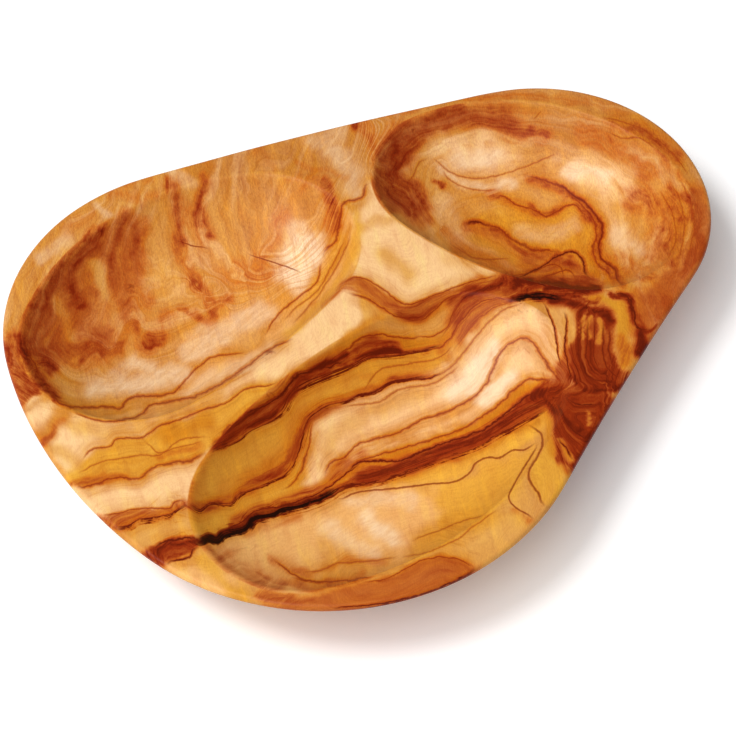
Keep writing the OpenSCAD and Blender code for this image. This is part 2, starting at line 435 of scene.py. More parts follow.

# Patches of one tone: colour, softness of the edge in pixels, and corners. Most are the wood's figure,
# but some are painted highlights or painted shade, as marked.
PATCHES = {
    "back_land": ("umber", 8, [
        (150, 192), (200, 160), (300, 130), (380, 106), (480, 88), (560, 82), (640, 104), (700, 155),
        (716, 205), (692, 196), (650, 155), (600, 124), (540, 108), (480, 106), (420, 114), (385, 140),
        (372, 178), (340, 184), (300, 178), (230, 175), (180, 190)]),
    # Pale wood with a painted highlight on the left well's right wall
    "left_glow": ("pale", 9, [
        (280, 262), (284, 232), (290, 218), (306, 226), (318, 236), (322, 250), (318, 270), (304, 288),
        (284, 284)]),
    "left_ground": ("rust", 16, [
        (24, 330), (32, 300), (52, 272), (80, 248), (108, 224), (130, 214), (148, 222), (148, 256),
        (144, 290), (138, 324), (120, 344), (100, 362), (72, 364), (52, 370), (34, 356)]),
    "left_rim_red": ("brick", 4, [
        (0, 338), (20, 330), (36, 345), (42, 375), (42, 396), (20, 408), (4, 390)]),
    "ridge": ("cream", 4, [
        (60, 405), (110, 418), (150, 406), (200, 388), (245, 358), (275, 338), (300, 325), (325, 298),
        (345, 286), (362, 312), (352, 332), (325, 352), (300, 366), (280, 380), (250, 386), (215, 406),
        (175, 423), (145, 438), (120, 439), (95, 448), (72, 472), (50, 450), (28, 422), (22, 408),
        (40, 397)]),
    "left_foot": ("sand", 5, [
        (120, 412), (150, 404), (172, 396), (190, 380), (210, 362), (232, 357), (262, 352), (282, 342),
        (290, 352), (240, 382), (195, 404), (150, 420), (120, 424)]),
    "left_strip": ("sand", 3, [
        (358, 206), (362, 232), (356, 262), (346, 276), (330, 292), (306, 326), (275, 346), (264, 338),
        (282, 312), (300, 298), (316, 286), (322, 262), (336, 242), (340, 215), (345, 204)]),
    "centre": ("cream", 5, [
        (362, 205), (366, 190), (378, 180), (392, 205), (440, 230), (470, 246), (504, 268), (478, 277),
        (455, 287), (430, 296), (410, 301), (395, 298), (380, 286), (365, 279), (344, 274), (350, 250),
        (350, 225)]),
    "under_arch": ("honey", 5, [
        (362, 300), (378, 308), (390, 316), (415, 322), (432, 314), (446, 300), (454, 306), (448, 324),
        (432, 334), (400, 336), (378, 330), (362, 335), (345, 347), (320, 362), (345, 337), (362, 322)]),
    "arch_band": ("rust", 3, [
        (310, 306), (335, 296), (343, 280), (350, 276), (370, 281), (388, 293), (400, 302), (410, 304),
        (440, 293), (470, 282), (500, 276), (520, 284), (545, 292), (535, 299), (512, 304), (490, 314),
        (474, 332), (455, 352), (440, 362), (432, 352), (452, 326), (456, 306), (446, 300), (432, 314),
        (415, 321), (390, 314), (366, 298), (345, 292), (326, 304)]),
    "ochre_land": ("yellow", 3, [
        (80, 462), (92, 449), (111, 446), (117, 438), (142, 438), (157, 427), (186, 417), (207, 408),
        (226, 403), (245, 389), (270, 386), (285, 383), (275, 400), (240, 420), (208, 450), (190, 458),
        (155, 466), (138, 478), (100, 480), (72, 488), (66, 476)]),
    "ochre_well": ("gold", 4, [
        (185, 455), (225, 425), (262, 428), (285, 410), (300, 388), (345, 370), (385, 353), (440, 346),
        (458, 345), (440, 362), (410, 377), (375, 391), (345, 400), (312, 416), (304, 440), (300, 470),
        (306, 484), (300, 500), (270, 520), (240, 528), (222, 536), (205, 540), (180, 540), (176, 500)]),
    "dark_band": ("redbrown", 4, [
        (195, 456), (215, 432), (240, 413), (262, 402), (282, 392), (291, 379), (302, 370), (320, 366),
        (340, 356), (345, 366), (325, 377), (307, 386), (292, 396), (285, 411), (272, 421), (250, 431),
        (235, 442), (215, 449)]),
    "dark_band_end": ("amber", 5, [
        (335, 358), (352, 345), (365, 336), (380, 334), (400, 338), (440, 336), (452, 330), (446, 346),
        (430, 350), (400, 354), (385, 355), (370, 358), (350, 368), (338, 372)]),
    "land_cream": ("cream", 3, [
        (72, 490), (100, 483), (138, 481), (155, 469), (190, 462), (216, 450), (216, 480), (206, 504),
        (168, 508), (135, 509), (100, 516), (82, 503)]),
    "land_band": ("rust", 3, [
        (98, 514), (135, 508), (168, 506), (180, 500), (210, 498), (210, 508), (190, 507), (168, 519),
        (140, 525), (128, 531), (112, 530)]),
    "land_sand": ("honey", 4, [
        (120, 534), (140, 526), (168, 520), (190, 508), (206, 508), (208, 538), (170, 538), (148, 551)]),
    "fan_land": ("redbrown", 3, [
        (144, 553), (160, 542), (172, 537), (190, 538), (206, 540), (196, 546), (190, 553), (178, 559),
        (162, 569)]),
    "land_end": ("sand", 6, [
        (164, 566), (192, 558), (202, 556), (225, 575), (240, 585), (232, 596), (210, 596), (180, 583)]),
    "dome": ("cream", 4, [
        (312, 418), (345, 402), (375, 393), (410, 379), (440, 368), (462, 352), (480, 328), (495, 314),
        (515, 303), (540, 294), (570, 310), (584, 340), (580, 382), (548, 372), (540, 353), (530, 341),
        (520, 339), (508, 346), (497, 360), (488, 378), (475, 394), (440, 413), (410, 425), (375, 438),
        (340, 457), (325, 470), (314, 486), (300, 486), (306, 470), (310, 450)]),
    # Painted highlight in the front well
    "dome_glow": ("pale", 12, [
        (450, 385), (462, 360), (480, 345), (492, 342), (488, 362), (480, 382), (465, 393)]),
    "inner_arch": ("cream", 3, [
        (355, 450), (400, 432), (440, 414), (475, 396), (490, 378), (500, 358), (512, 345), (522, 340),
        (532, 342), (545, 362), (560, 378), (545, 380), (530, 379), (515, 388), (500, 401), (480, 416),
        (450, 427), (400, 446), (360, 460), (338, 478)]),
    "over_vein": ("amber", 3, [
        (320, 486), (340, 470), (360, 460), (400, 449), (450, 431), (480, 418), (500, 402), (520, 386),
        (535, 380), (555, 384), (540, 393), (520, 405), (500, 420), (480, 432), (450, 440), (430, 448),
        (400, 460), (370, 466), (345, 480)]),
    "vein_band": ("brick", 3, [
        (338, 486), (352, 474), (370, 464), (400, 461), (430, 449), (450, 440), (480, 430), (500, 418),
        (520, 401), (540, 388), (562, 384), (560, 400), (545, 406), (530, 415), (515, 425), (500, 434),
        (475, 449), (455, 458), (430, 464), (400, 475), (385, 480), (370, 484), (345, 489)]),
    "under_vein": ("yellow", 4, [
        (340, 497), (385, 483), (430, 467), (475, 452), (500, 437), (530, 419), (546, 409), (546, 425),
        (538, 438), (520, 448), (500, 456), (475, 462), (465, 477), (440, 481), (400, 488), (358, 492),
        (340, 499)]),
    "lower_gold": ("sand", 9, [
        (195, 545), (228, 540), (250, 528), (290, 512), (320, 506), (330, 530), (312, 560), (316, 590),
        (290, 600), (250, 594), (205, 570)]),
    "lower_amber": ("yellow", 8, [
        (400, 492), (440, 484), (470, 474), (490, 458), (520, 451), (538, 443), (533, 460), (515, 485),
        (509, 500), (528, 518), (520, 535), (490, 556), (460, 572), (420, 572), (400, 562), (420, 540),
        (430, 518), (420, 500)]),
    # Painted highlight on the front well's floor
    "lower_glow": ("sand", 16, [
        (324, 508), (352, 497), (392, 490), (430, 496), (438, 516), (420, 540), (400, 556), (370, 560),
        (340, 548), (322, 528)]),
    "deep_orange": ("rust", 5, [
        (255, 616), (290, 600), (330, 590), (365, 582), (385, 577), (400, 569), (420, 561), (440, 556),
        (460, 559), (478, 567), (472, 584), (430, 600), (380, 612), (320, 622), (270, 620)]),
    "right_honey": ("gold", 3, [
        (546, 410), (551, 425), (553, 450), (557, 465), (573, 470), (566, 490), (550, 507), (541, 500),
        (530, 487), (529, 476), (541, 450), (543, 436)]),
    "right_red": ("redbrown", 4, [
        (546, 410), (546, 394), (556, 380), (580, 388), (616, 398), (612, 430), (598, 455), (580, 478),
        (568, 472), (558, 462), (552, 446), (551, 426)]),
    "fan": ("sand", 4, [
        (543, 302), (560, 306), (572, 312), (577, 330), (572, 346), (566, 354), (560, 354), (554, 330)]),
    "fan_foot": ("brick", 4, [(559, 354), (572, 346), (578, 366), (580, 390), (560, 392), (556, 376)]),
    "stack": ("redbrown", 4, [
        (556, 297), (580, 302), (604, 309), (615, 318), (616, 340), (620, 364), (630, 380), (618, 394),
        (590, 392), (570, 386), (566, 366), (570, 346), (577, 330), (573, 312), (562, 305)]),
    "right_strip": ("ochre", 3, [
        (584, 297), (612, 297), (626, 301), (631, 314), (631, 336), (633, 354), (628, 366), (620, 366),
        (616, 341), (615, 318), (606, 308)]),
    "right_rim": ("rust", 7, [
        (692, 185), (716, 215), (712, 275), (690, 325), (648, 375), (640, 345), (636, 310), (632, 296),
        (650, 284), (672, 268), (684, 245), (690, 215)]),
    # Painted shade on the right well's left wall, over the dark figure there
    "right_crescent_shade_and_figure": ("brick", 9, [
        (370, 185), (370, 165), (380, 144), (396, 124), (420, 110), (450, 104), (490, 104), (516, 110),
        (530, 122), (526, 134), (512, 138), (500, 136), (488, 130), (459, 130), (436, 133), (424, 144),
        (418, 160), (413, 172), (420, 184), (434, 196), (436, 210), (420, 220), (395, 212), (376, 198)]),
    "right_top": ("umber", 10, [
        (524, 112), (560, 108), (600, 118), (640, 140), (668, 172), (650, 178), (620, 160), (590, 152),
        (556, 150), (530, 146)]),
    # Painted highlights on the right well's floor
    "right_glow": ("cream", 11, [
        (424, 150), (452, 136), (488, 138), (520, 152), (524, 164), (506, 172), (486, 178), (460, 176),
        (434, 164)]),
    "right_glow_end": ("cream", 14, [
        (552, 176), (570, 164), (592, 160), (618, 166), (634, 180), (636, 196), (612, 194), (590, 187),
        (566, 182)]),
    "right_gold": ("gold", 5, [
        (474, 222), (498, 197), (530, 208), (550, 213), (570, 205), (590, 220), (600, 240), (598, 258),
        (575, 255), (550, 252), (525, 247), (505, 233)]),
    "right_floor": ("orange", 6, [
        (448, 242), (464, 226), (490, 225), (505, 235), (525, 247), (548, 252), (570, 253), (583, 262),
        (592, 290), (560, 300), (530, 296), (500, 286), (470, 268)]),
    "right_step": ("amber", 4, [(584, 252), (602, 254), (618, 274), (622, 286), (600, 284), (588, 278)]),
}

# Soft strokes over the patches: colour, cover, half width in pixels, and points. Some are painted
# highlights or painted shade, as marked.
STROKES = {
    # Partly painted shade on the left well's left wall, partly its dark red-brown figure
    "wall_left": ("brick", 1.0, 24, [(30, 350), (42, 312), (60, 282), (80, 260), (98, 246)]),
    "wall_lower": ("redbrown", 1.0, 8, [(22, 336), (28, 360), (42, 385), (64, 406)]),
    "wall_dark": ("redbrown", 0.9, 9, [(98, 234), (82, 252), (73, 272), (72, 290), (82, 306)]),
    "flame_one": ("brick", 1.0, 8, [(122, 216), (117, 232), (111, 252), (111, 276)]),
    "flame_two": ("brick", 1.0, 12, [(130, 222), (136, 242), (136, 262)]),
    "flame_low": ("rust", 0.8, 9, [(138, 268), (136, 300), (134, 324), (138, 340)]),
    "flame_side": ("rust", 0.85, 12, [(166, 318), (158, 334), (150, 348)]),
    "gold_one": ("honey", 0.9, 8, [(98, 264), (103, 290), (110, 316), (118, 334)]),
    "gold_two": ("honey", 0.7, 9, [(160, 224), (162, 258), (170, 286)]),
    "gold_three": ("honey", 0.45, 7, [(58, 300), (64, 316), (72, 336)]),
    "flame_three": ("brick", 0.9, 9, [(172, 185), (176, 204), (178, 222), (181, 242), (184, 258)]),
    "flame_four": ("brick", 0.95, 9, [(204, 178), (201, 198), (197, 224)]),
    "flame_five": ("rust", 0.9, 13, [(196, 212), (202, 230), (206, 248)]),
    "zigzag_low": ("rust", 0.6, 9, [(52, 346), (75, 362), (94, 358), (108, 362)]),
    "zigzag_end": ("brick", 0.8, 5, [
        (178, 308), (192, 314), (206, 325), (214, 316), (206, 302), (218, 298)]),
    "zigzag_high": ("rust", 0.7, 12, [(104, 308), (99, 332), (110, 338), (124, 318), (136, 300)]),
    "low_red": ("brick", 1.0, 13, [(84, 350), (98, 332), (106, 350)]),
    "low_wall": ("redbrown", 0.9, 13, [(32, 326), (38, 348), (52, 368)]),
    "smoke": ("rust", 0.6, 10, [(304, 186), (286, 210), (276, 236), (262, 258)]),
    "tip_red": ("brick", 0.9, 10, [(322, 184), (331, 200), (335, 228)]),
    "light_one": ("honey", 0.7, 9, [(158, 240), (163, 268), (176, 296)]),
    "light_two": ("honey", 0.5, 9, [(186, 254), (190, 272), (196, 288)]),
    "curl_dark": ("rust", 0.85, 8, [(184, 262), (192, 278), (204, 294), (216, 304), (230, 298)]),
    "umber_side": ("umber", 0.7, 12, [(208, 252), (214, 270), (226, 284)]),
    "cheek": ("rust", 0.7, 16, [(230, 270), (246, 276), (266, 274)]),
    "light_seven": ("cream", 0.6, 9, [(190, 338), (204, 332), (222, 326)]),
    # Painted highlight on the right well's floor
    "glow_core": ("pale", 0.55, 12, [(456, 160), (474, 162), (496, 156)]),
    "light_three": ("cream", 0.9, 14, [(92, 390), (130, 384), (160, 380)]),
    "light_four": ("cream", 0.85, 12, [(132, 364), (156, 372), (184, 374)]),
    "light_five": ("pale", 0.5, 15, [(190, 352), (215, 340), (238, 322), (262, 312)]),
    "light_six": ("cream", 0.7, 10, [(188, 392), (215, 374), (245, 364), (270, 350)]),
    "low_gold": ("gold", 0.3, 10, [(58, 380), (80, 396), (110, 402)]),
    "rim_pale_one": ("cream", 0.6, 8, [(42, 258), (56, 246), (68, 236)]),
    "rim_pale_two": ("cream", 0.6, 6, [(96, 205), (106, 214)]),
    "rim_pale_three": ("cream", 0.5, 7, [(168, 170), (180, 177), (190, 184)]),
    "rim_brown_one": ("rust", 0.45, 9, [(66, 230), (90, 216)]),
    "rim_brown_two": ("rust", 0.5, 8, [(110, 192), (138, 198), (160, 196)]),
    "rim_brown_three": ("rust", 0.4, 7, [(122, 186), (150, 178)]),
    "rim_brown_four": ("rust", 0.4, 9, [(205, 160), (214, 172), (226, 178)]),
    "back_one": ("rust", 0.45, 9, [(256, 150), (270, 165), (268, 182)]),
    "back_two": ("rust", 0.5, 5, [(288, 180), (308, 175), (332, 184)]),
    "back_three": ("rust", 0.45, 4, [(298, 165), (325, 170), (348, 180)]),
    "back_four": ("brick", 0.75, 10, [(356, 118), (368, 132), (376, 150)]),
    "back_five": ("brick", 0.5, 6, [(384, 112), (400, 112), (416, 106)]),
    "back_pale": ("cream", 0.6, 13, [(336, 152), (352, 172), (352, 192)]),
    "centre_smudge": ("honey", 0.95, 10, [(384, 254), (396, 264), (408, 276)]),
    "centre_smudge_two": ("honey", 0.5, 9, [(446, 258), (468, 264)]),
    "centre_top": ("honey", 0.7, 6, [(352, 229), (376, 222), (398, 220)]),
    "lip_honey": ("honey", 0.8, 8, [(70, 424), (100, 433), (140, 427), (180, 410), (215, 396)]),
    "corner_sand": ("honey", 0.8, 7, [(48, 452), (62, 452), (76, 462)]),
    "corner_umber": ("umber", 0.85, 6, [(18, 410), (32, 406), (44, 400)]),
    "back_shade": ("umber", 0.75, 14, [(256, 184), (284, 196), (312, 204)]),
    "back_shade_two": ("umber", 0.6, 16, [(228, 176), (242, 202), (252, 234)]),
    "near_rust": ("brick", 0.5, 8, [(440, 230), (462, 243), (492, 259)]),
    "back_pale_two": ("cream", 0.5, 10, [(306, 140), (322, 142), (340, 132)]),
    "back_six": ("brick", 0.5, 7, [(468, 100), (500, 95), (545, 95)]),
    "back_seven": ("rust", 0.5, 7, [(560, 98), (600, 104), (625, 116)]),
    "back_eight": ("brick", 0.8, 10, [(610, 126), (645, 132), (676, 156)]),
    "back_nine": ("rust", 0.6, 8, [(664, 160), (684, 180), (696, 200)]),
    # Partly painted shade on the right well's left wall, partly dark figure
    "crescent_core": ("dark", 0.8, 8, [(400, 132), (394, 150), (396, 170)]),
    "crescent_streak": ("dark", 0.8, 3, [(386, 176), (402, 194), (416, 210)]),
    "crescent_streak_two": ("dark", 0.8, 3, [(398, 172), (412, 190), (426, 204)]),
    "crescent_foot": ("dark", 0.8, 4, [(384, 188), (396, 202), (410, 213)]),
    # Partly painted shade on the right well's left wall, partly dark figure
    "crescent_left": ("brick", 1.0, 15, [(398, 132), (388, 154), (388, 180), (400, 198), (420, 206)]),
    "crescent_top": ("brick", 0.8, 10, [(412, 134), (440, 120), (480, 113), (510, 116)]),
    "crescent_end": ("brick", 0.8, 9, [(496, 126), (514, 132), (532, 132), (544, 136)]),
    "crescent_tail": ("rust", 0.6, 7, [(516, 112), (532, 114), (546, 118)]),
    "curl_gold": ("honey", 0.8, 8, [(418, 168), (426, 180), (440, 196)]),
    "curl_knot": ("redbrown", 0.8, 4, [(432, 180), (442, 187)]),
    # Painted highlights on the right well's floor
    "glow_core_two": ("pale", 0.6, 9, [(572, 172), (588, 171), (606, 177)]),
    "glow_small": ("pale", 0.6, 7, [(500, 184), (512, 183)]),
    "under_glow": ("cream", 0.7, 6, [(440, 166), (456, 181), (480, 187), (516, 183)]),
    "side_pale": ("cream", 0.35, 14, [(446, 206), (452, 222), (458, 234)]),
    "end_pale": ("cream", 0.7, 12, [(618, 230), (628, 242), (640, 250)]),
    "gold_pale": ("cream", 0.5, 10, [(520, 230), (550, 236), (574, 224)]),
    "gold_crest": ("rust", 0.85, 6, [
        (490, 192), (518, 204), (542, 214), (560, 208), (574, 203), (590, 220)]),
    "floor_gold": ("ochre", 0.75, 8, [(476, 240), (492, 248), (512, 258)]),
    "floor_red": ("redbrown", 0.7, 8, [(512, 277), (540, 269), (562, 262), (582, 274)]),
    "near_one": ("dark", 1.0, 7, [(514, 285), (534, 281), (548, 282), (562, 285), (578, 286)]),
    "near_two": ("dark", 1.0, 7, [(546, 289), (562, 287), (580, 289), (596, 290)]),
    "near_land": ("dark", 0.9, 5, [(550, 295), (572, 296), (594, 303)]),
    "near_three": ("dark", 0.9, 4, [(562, 279), (580, 283), (598, 287)]),
    "near_smoke": ("redbrown", 0.9, 10, [(506, 290), (530, 284), (560, 280), (596, 282)]),
    "right_wall": ("brick", 0.75, 8, [(668, 188), (681, 214), (682, 246), (670, 268)]),
    "right_wall_fold": ("brick", 0.7, 8, [(660, 208), (670, 226), (668, 250)]),
    "right_wall_inner": ("brick", 0.8, 16, [(632, 200), (652, 202), (664, 222), (656, 254)]),
    "main_halo": ("rust", 0.95, 8, [
        (530, 178), (552, 185), (572, 198), (588, 212), (598, 226), (598, 240), (598, 252), (606, 264),
        (620, 284)]),
    "wave_halo": ("brick", 0.7, 6, [
        (466, 226), (488, 228), (502, 234), (514, 246), (530, 253), (570, 256)]),
    "right_wall_low": ("rust", 0.75, 11, [(622, 262), (642, 274), (664, 270)]),
    "right_wall_top": ("brick", 0.55, 15, [(585, 130), (620, 146), (652, 172)]),
    "right_wall_end": ("brick", 1.0, 11, [(690, 196), (700, 220), (698, 250), (684, 276)]),
    "arch_red": ("brick", 0.95, 8, [(384, 306), (402, 313), (420, 313), (436, 304)]),
    "arch_tail": ("brick", 0.8, 5, [(312, 306), (326, 301), (342, 284), (350, 280)]),
    "streak_red": ("redbrown", 0.85, 11, [(456, 318), (476, 298), (500, 288), (526, 290)]),
    "streak_low": ("rust", 0.7, 9, [(440, 352), (458, 332), (474, 312), (500, 300)]),
    "streak_dark": ("dark", 0.95, 5, [
        (510, 300), (530, 296), (552, 297), (572, 304), (596, 312), (612, 320)]),
    "band_glow": ("amber", 0.8, 6, [(322, 362), (345, 342), (362, 326), (378, 318)]),
    "band_red": ("redbrown", 0.9, 8, [(358, 350), (370, 342), (384, 342), (396, 347)]),
    "band_dark": ("dark", 1.0, 5, [(356, 361), (368, 355), (382, 350), (400, 351)]),
    "band_rust": ("brick", 0.7, 5, [(358, 344), (374, 336), (388, 340)]),
    "band_dark_two": ("dark", 0.9, 4, [(316, 370), (332, 367), (352, 364)]),
    "band_dark_three": ("dark", 0.8, 5, [
        (206, 448), (240, 428), (262, 412), (284, 399), (296, 382), (318, 371), (344, 362), (370, 352)]),
    "band_shade": ("brick", 1.0, 12, [
        (204, 446), (225, 432), (250, 414), (275, 402), (294, 382), (318, 370), (342, 360)]),
    "band_dark_four": ("dark", 0.95, 5, [(296, 379), (312, 369), (332, 362), (348, 354)]),
    "band_lens": ("orange", 0.85, 4, [(260, 420), (273, 411), (284, 402)]),
    "well_orange": ("orange", 0.5, 10, [(300, 400), (318, 390), (345, 378)]),
    "well_orange_two": ("orange", 0.55, 9, [(362, 378), (390, 372), (420, 364)]),
    "well_brown": ("rust", 0.5, 14, [(200, 452), (192, 480), (196, 510)]),
    "well_edge": ("brick", 0.7, 6, [(190, 486), (196, 506), (212, 506)]),
    # Partly painted shade on the front well's lower-left wall, partly rust-brown figure
    "foot_rust": ("brick", 0.7, 9, [(204, 548), (225, 567), (252, 582), (285, 590)]),
    "loop_foot": ("rust", 0.8, 6, [(516, 512), (530, 521)]),
    "rim_low": ("brick", 0.95, 9, [(262, 597), (285, 600), (312, 602)]),
    "foot_brown": ("rust", 0.5, 14, [(222, 550), (246, 570), (272, 580)]),
    "under_black": ("rust", 0.6, 7, [(246, 534), (268, 524), (300, 516)]),
    "brown_fill": ("brick", 0.95, 8, [
        (192, 506), (206, 506), (236, 494), (262, 481), (284, 469), (297, 446), (304, 427), (318, 411),
        (340, 401)]),
    "brown_fade": ("rust", 0.45, 12, [
        (220, 494), (252, 478), (276, 464), (290, 440), (297, 420), (316, 404)]),
    "brown_right": ("brick", 0.8, 5, [(340, 402), (362, 394), (380, 387), (400, 379), (430, 374)]),
    "black_smoke": ("brick", 0.9, 8, [(236, 524), (258, 510), (300, 498), (332, 484)]),
    "vein_root": ("brick", 0.8, 9, [(330, 478), (345, 466), (360, 460)]),
    "core_dark": ("redbrown", 1.0, 10, [(362, 479), (384, 473), (430, 456), (462, 445), (490, 432)]),
    "core_dark_two": ("dark", 0.95, 9, [(500, 424), (525, 405), (545, 393), (562, 390)]),
    "stack_core": ("dark", 0.9, 11, [(578, 356), (590, 374), (612, 384)]),
    "streak_top": ("redbrown", 1.0, 10, [(452, 302), (476, 290), (505, 283), (530, 290)]),
    "stack_top": ("dark", 1.0, 7, [(550, 299), (570, 304), (590, 309), (608, 316)]),
    "stack_foot": ("dark", 0.95, 5, [(572, 376), (580, 386), (598, 391), (622, 387)]),
    "stack_light": ("amber", 0.85, 2.5, [(584, 320), (584, 328), (583, 336)]),
    "stack_light_two": ("amber", 0.85, 2.5, [(591, 318), (591, 328), (590, 336)]),
    "stack_light_three": ("amber", 0.85, 3, [(599, 320), (600, 330), (598, 342)]),
    "strip_edge": ("dark", 0.9, 4, [
        (610, 294), (624, 296), (633, 306), (636, 322), (646, 330), (654, 326)]),
    "strip_fill": ("redbrown", 0.9, 6, [(634, 308), (640, 320), (645, 332), (640, 346)]),
    "strip_low": ("orange", 1.0, 9, [(623, 340), (626, 352), (624, 364)]),
    "rim_red": ("brick", 0.9, 14, [(646, 300), (664, 300), (654, 322)]),
    "rim_blot": ("dark", 1.0, 9, [(640, 330), (643, 340), (640, 352)]),
    "red_dark": ("dark", 1.0, 8, [(548, 402), (558, 410), (566, 422), (580, 430)]),
    "red_dark_two": ("dark", 0.9, 6, [(600, 426), (589, 440), (578, 460)]),
    "junction": ("brick", 1.0, 8, [(548, 382), (562, 382), (576, 390)]),
    "junction_side": ("redbrown", 1.0, 5, [(573, 348), (572, 366), (576, 386)]),
    "red_spot": ("amber", 0.7, 2, [(590, 412), (588, 422)]),
    "red_spot_two": ("amber", 0.8, 4, [(560, 440), (566, 450), (570, 462)]),
    "gold_edge": ("amber", 0.8, 5, [(546, 412), (549, 430), (552, 452)]),
    "vein_red": ("orange", 0.7, 5, [(480, 446), (505, 434), (530, 420)]),
    # Painted highlights in the front well
    "glow_low": ("pale", 0.6, 13, [(364, 518), (380, 530), (392, 540)]),
    "glow_high": ("cream", 0.7, 11, [(352, 502), (380, 498), (412, 500)]),
    "dome_light": ("pale", 0.7, 11, [(448, 396), (470, 388), (484, 372), (496, 352)]),
    "dome_light_two": ("pale", 0.8, 9, [(484, 400), (500, 388), (512, 376)]),
    "glow_low_two": ("cream", 0.7, 13, [(330, 526), (346, 540), (372, 552)]),
    "dome_shade": ("honey", 0.7, 11, [(328, 448), (346, 426), (390, 404), (424, 393)]),
    "smoke_low": ("rust", 0.6, 7, [(226, 556), (244, 568), (262, 584)]),
    "smoke_low_two": ("brick", 0.7, 6, [(268, 578), (300, 586), (340, 584), (376, 578)]),
    "smoke_low_three": ("rust", 0.7, 5, [(272, 558), (286, 570), (312, 576)]),
    "smoke_low_four": ("brick", 0.8, 4, [(256, 574), (284, 584), (322, 588), (352, 582)]),
    "smoke_low_five": ("rust", 0.7, 5, [(300, 574), (330, 566), (352, 561), (384, 560)]),
    "smoke_low_six": ("brick", 0.7, 4, [(312, 584), (340, 578), (364, 574)]),
    "amber_sweep": ("gold", 0.8, 16, [(450, 528), (480, 505), (505, 482)]),
    "amber_sweep_two": ("yellow", 0.7, 10, [(420, 542), (450, 534), (480, 522), (520, 522)]),
    "honey_pool": ("honey", 0.8, 13, [(470, 540), (488, 536), (508, 526)]),
    "orange_deep": ("brick", 0.85, 9, [(425, 576), (448, 567), (468, 570)]),
    "rim_ochre": ("ochre", 0.8, 9, [(230, 590), (244, 598)]),
    "edge_rust": ("brick", 0.7, 5, [(262, 606), (330, 608), (390, 600), (440, 584)]),
    "land_amber": ("amber", 0.9, 11, [(36, 444), (50, 428), (66, 414)]),
    "land_amber_line": ("rust", 0.9, 4, [(44, 446), (50, 434), (64, 420)]),
    "land_orange": ("amber", 0.9, 12, [(164, 434), (186, 430), (206, 422)]),
    "land_red": ("brick", 0.6, 5, [(160, 456), (180, 450), (200, 446)]),
    "land_wedge": ("orange", 0.7, 6, [(72, 484), (88, 481), (104, 476)]),
    "land_edge": ("brick", 0.7, 5, [(74, 485), (100, 479), (124, 476)]),
    "fan_dark": ("dark", 1.0, 4, [(170, 546), (190, 541), (212, 541)]),
    "end_gold": ("gold", 0.8, 8, [(202, 560), (216, 574), (226, 586)]),
    "strip_pale": ("yellow", 0.9, 6, [(341, 238), (330, 264), (318, 286), (300, 304)]),
    "strip_gold": ("yellow", 0.9, 5, [
        (358, 212), (357, 240), (346, 268), (330, 290), (306, 318), (286, 336)]),
    "strip_amber": ("amber", 0.8, 3, [(350, 226), (345, 246), (336, 262), (324, 282)]),
}

# Red and dark patches that are even, and how even they are from 0 to 1
CALM = {
    "left_ground": 0.55, "right_rim": 0.75, "deep_orange": 0.6, "right_red": 0.2, "right_crescent_shade_and_figure": 0.45,
    "right_floor": 0.4,
}

# Patches and strokes that end at the wells' lips
LAND_ONLY = {
    "fan_land", "back_land", "left_rim_red", "ridge", "centre", "ochre_land", "land_cream", "land_band",
    "land_sand", "land_end", "stack", "right_strip", "right_rim", "stack_core", "stack_top",
    "stack_light", "stack_light_two", "stack_light_three", "deep_orange", "strip_low", "strip_edge",
    "strip_fill", "rim_red", "rim_blot",
}
WELL_ONLY = {
    "left_ground", "left_glow", "left_foot", "left_strip", "ochre_well", "dark_band", "dome",
    "inner_arch", "lower_gold", "lower_amber", "lower_glow", "right_crescent_shade_and_figure", "right_top", "right_glow",
    "right_glow_end", "right_gold", "right_floor", "right_step", "wall_left", "wall_lower", "well_brown",
    "well_edge", "crescent_top", "crescent_core", "foot_rust", "foot_brown", "smoke_low",
    "smoke_low_two", "band_shade", "band_dark_three", "brown_fade",
}

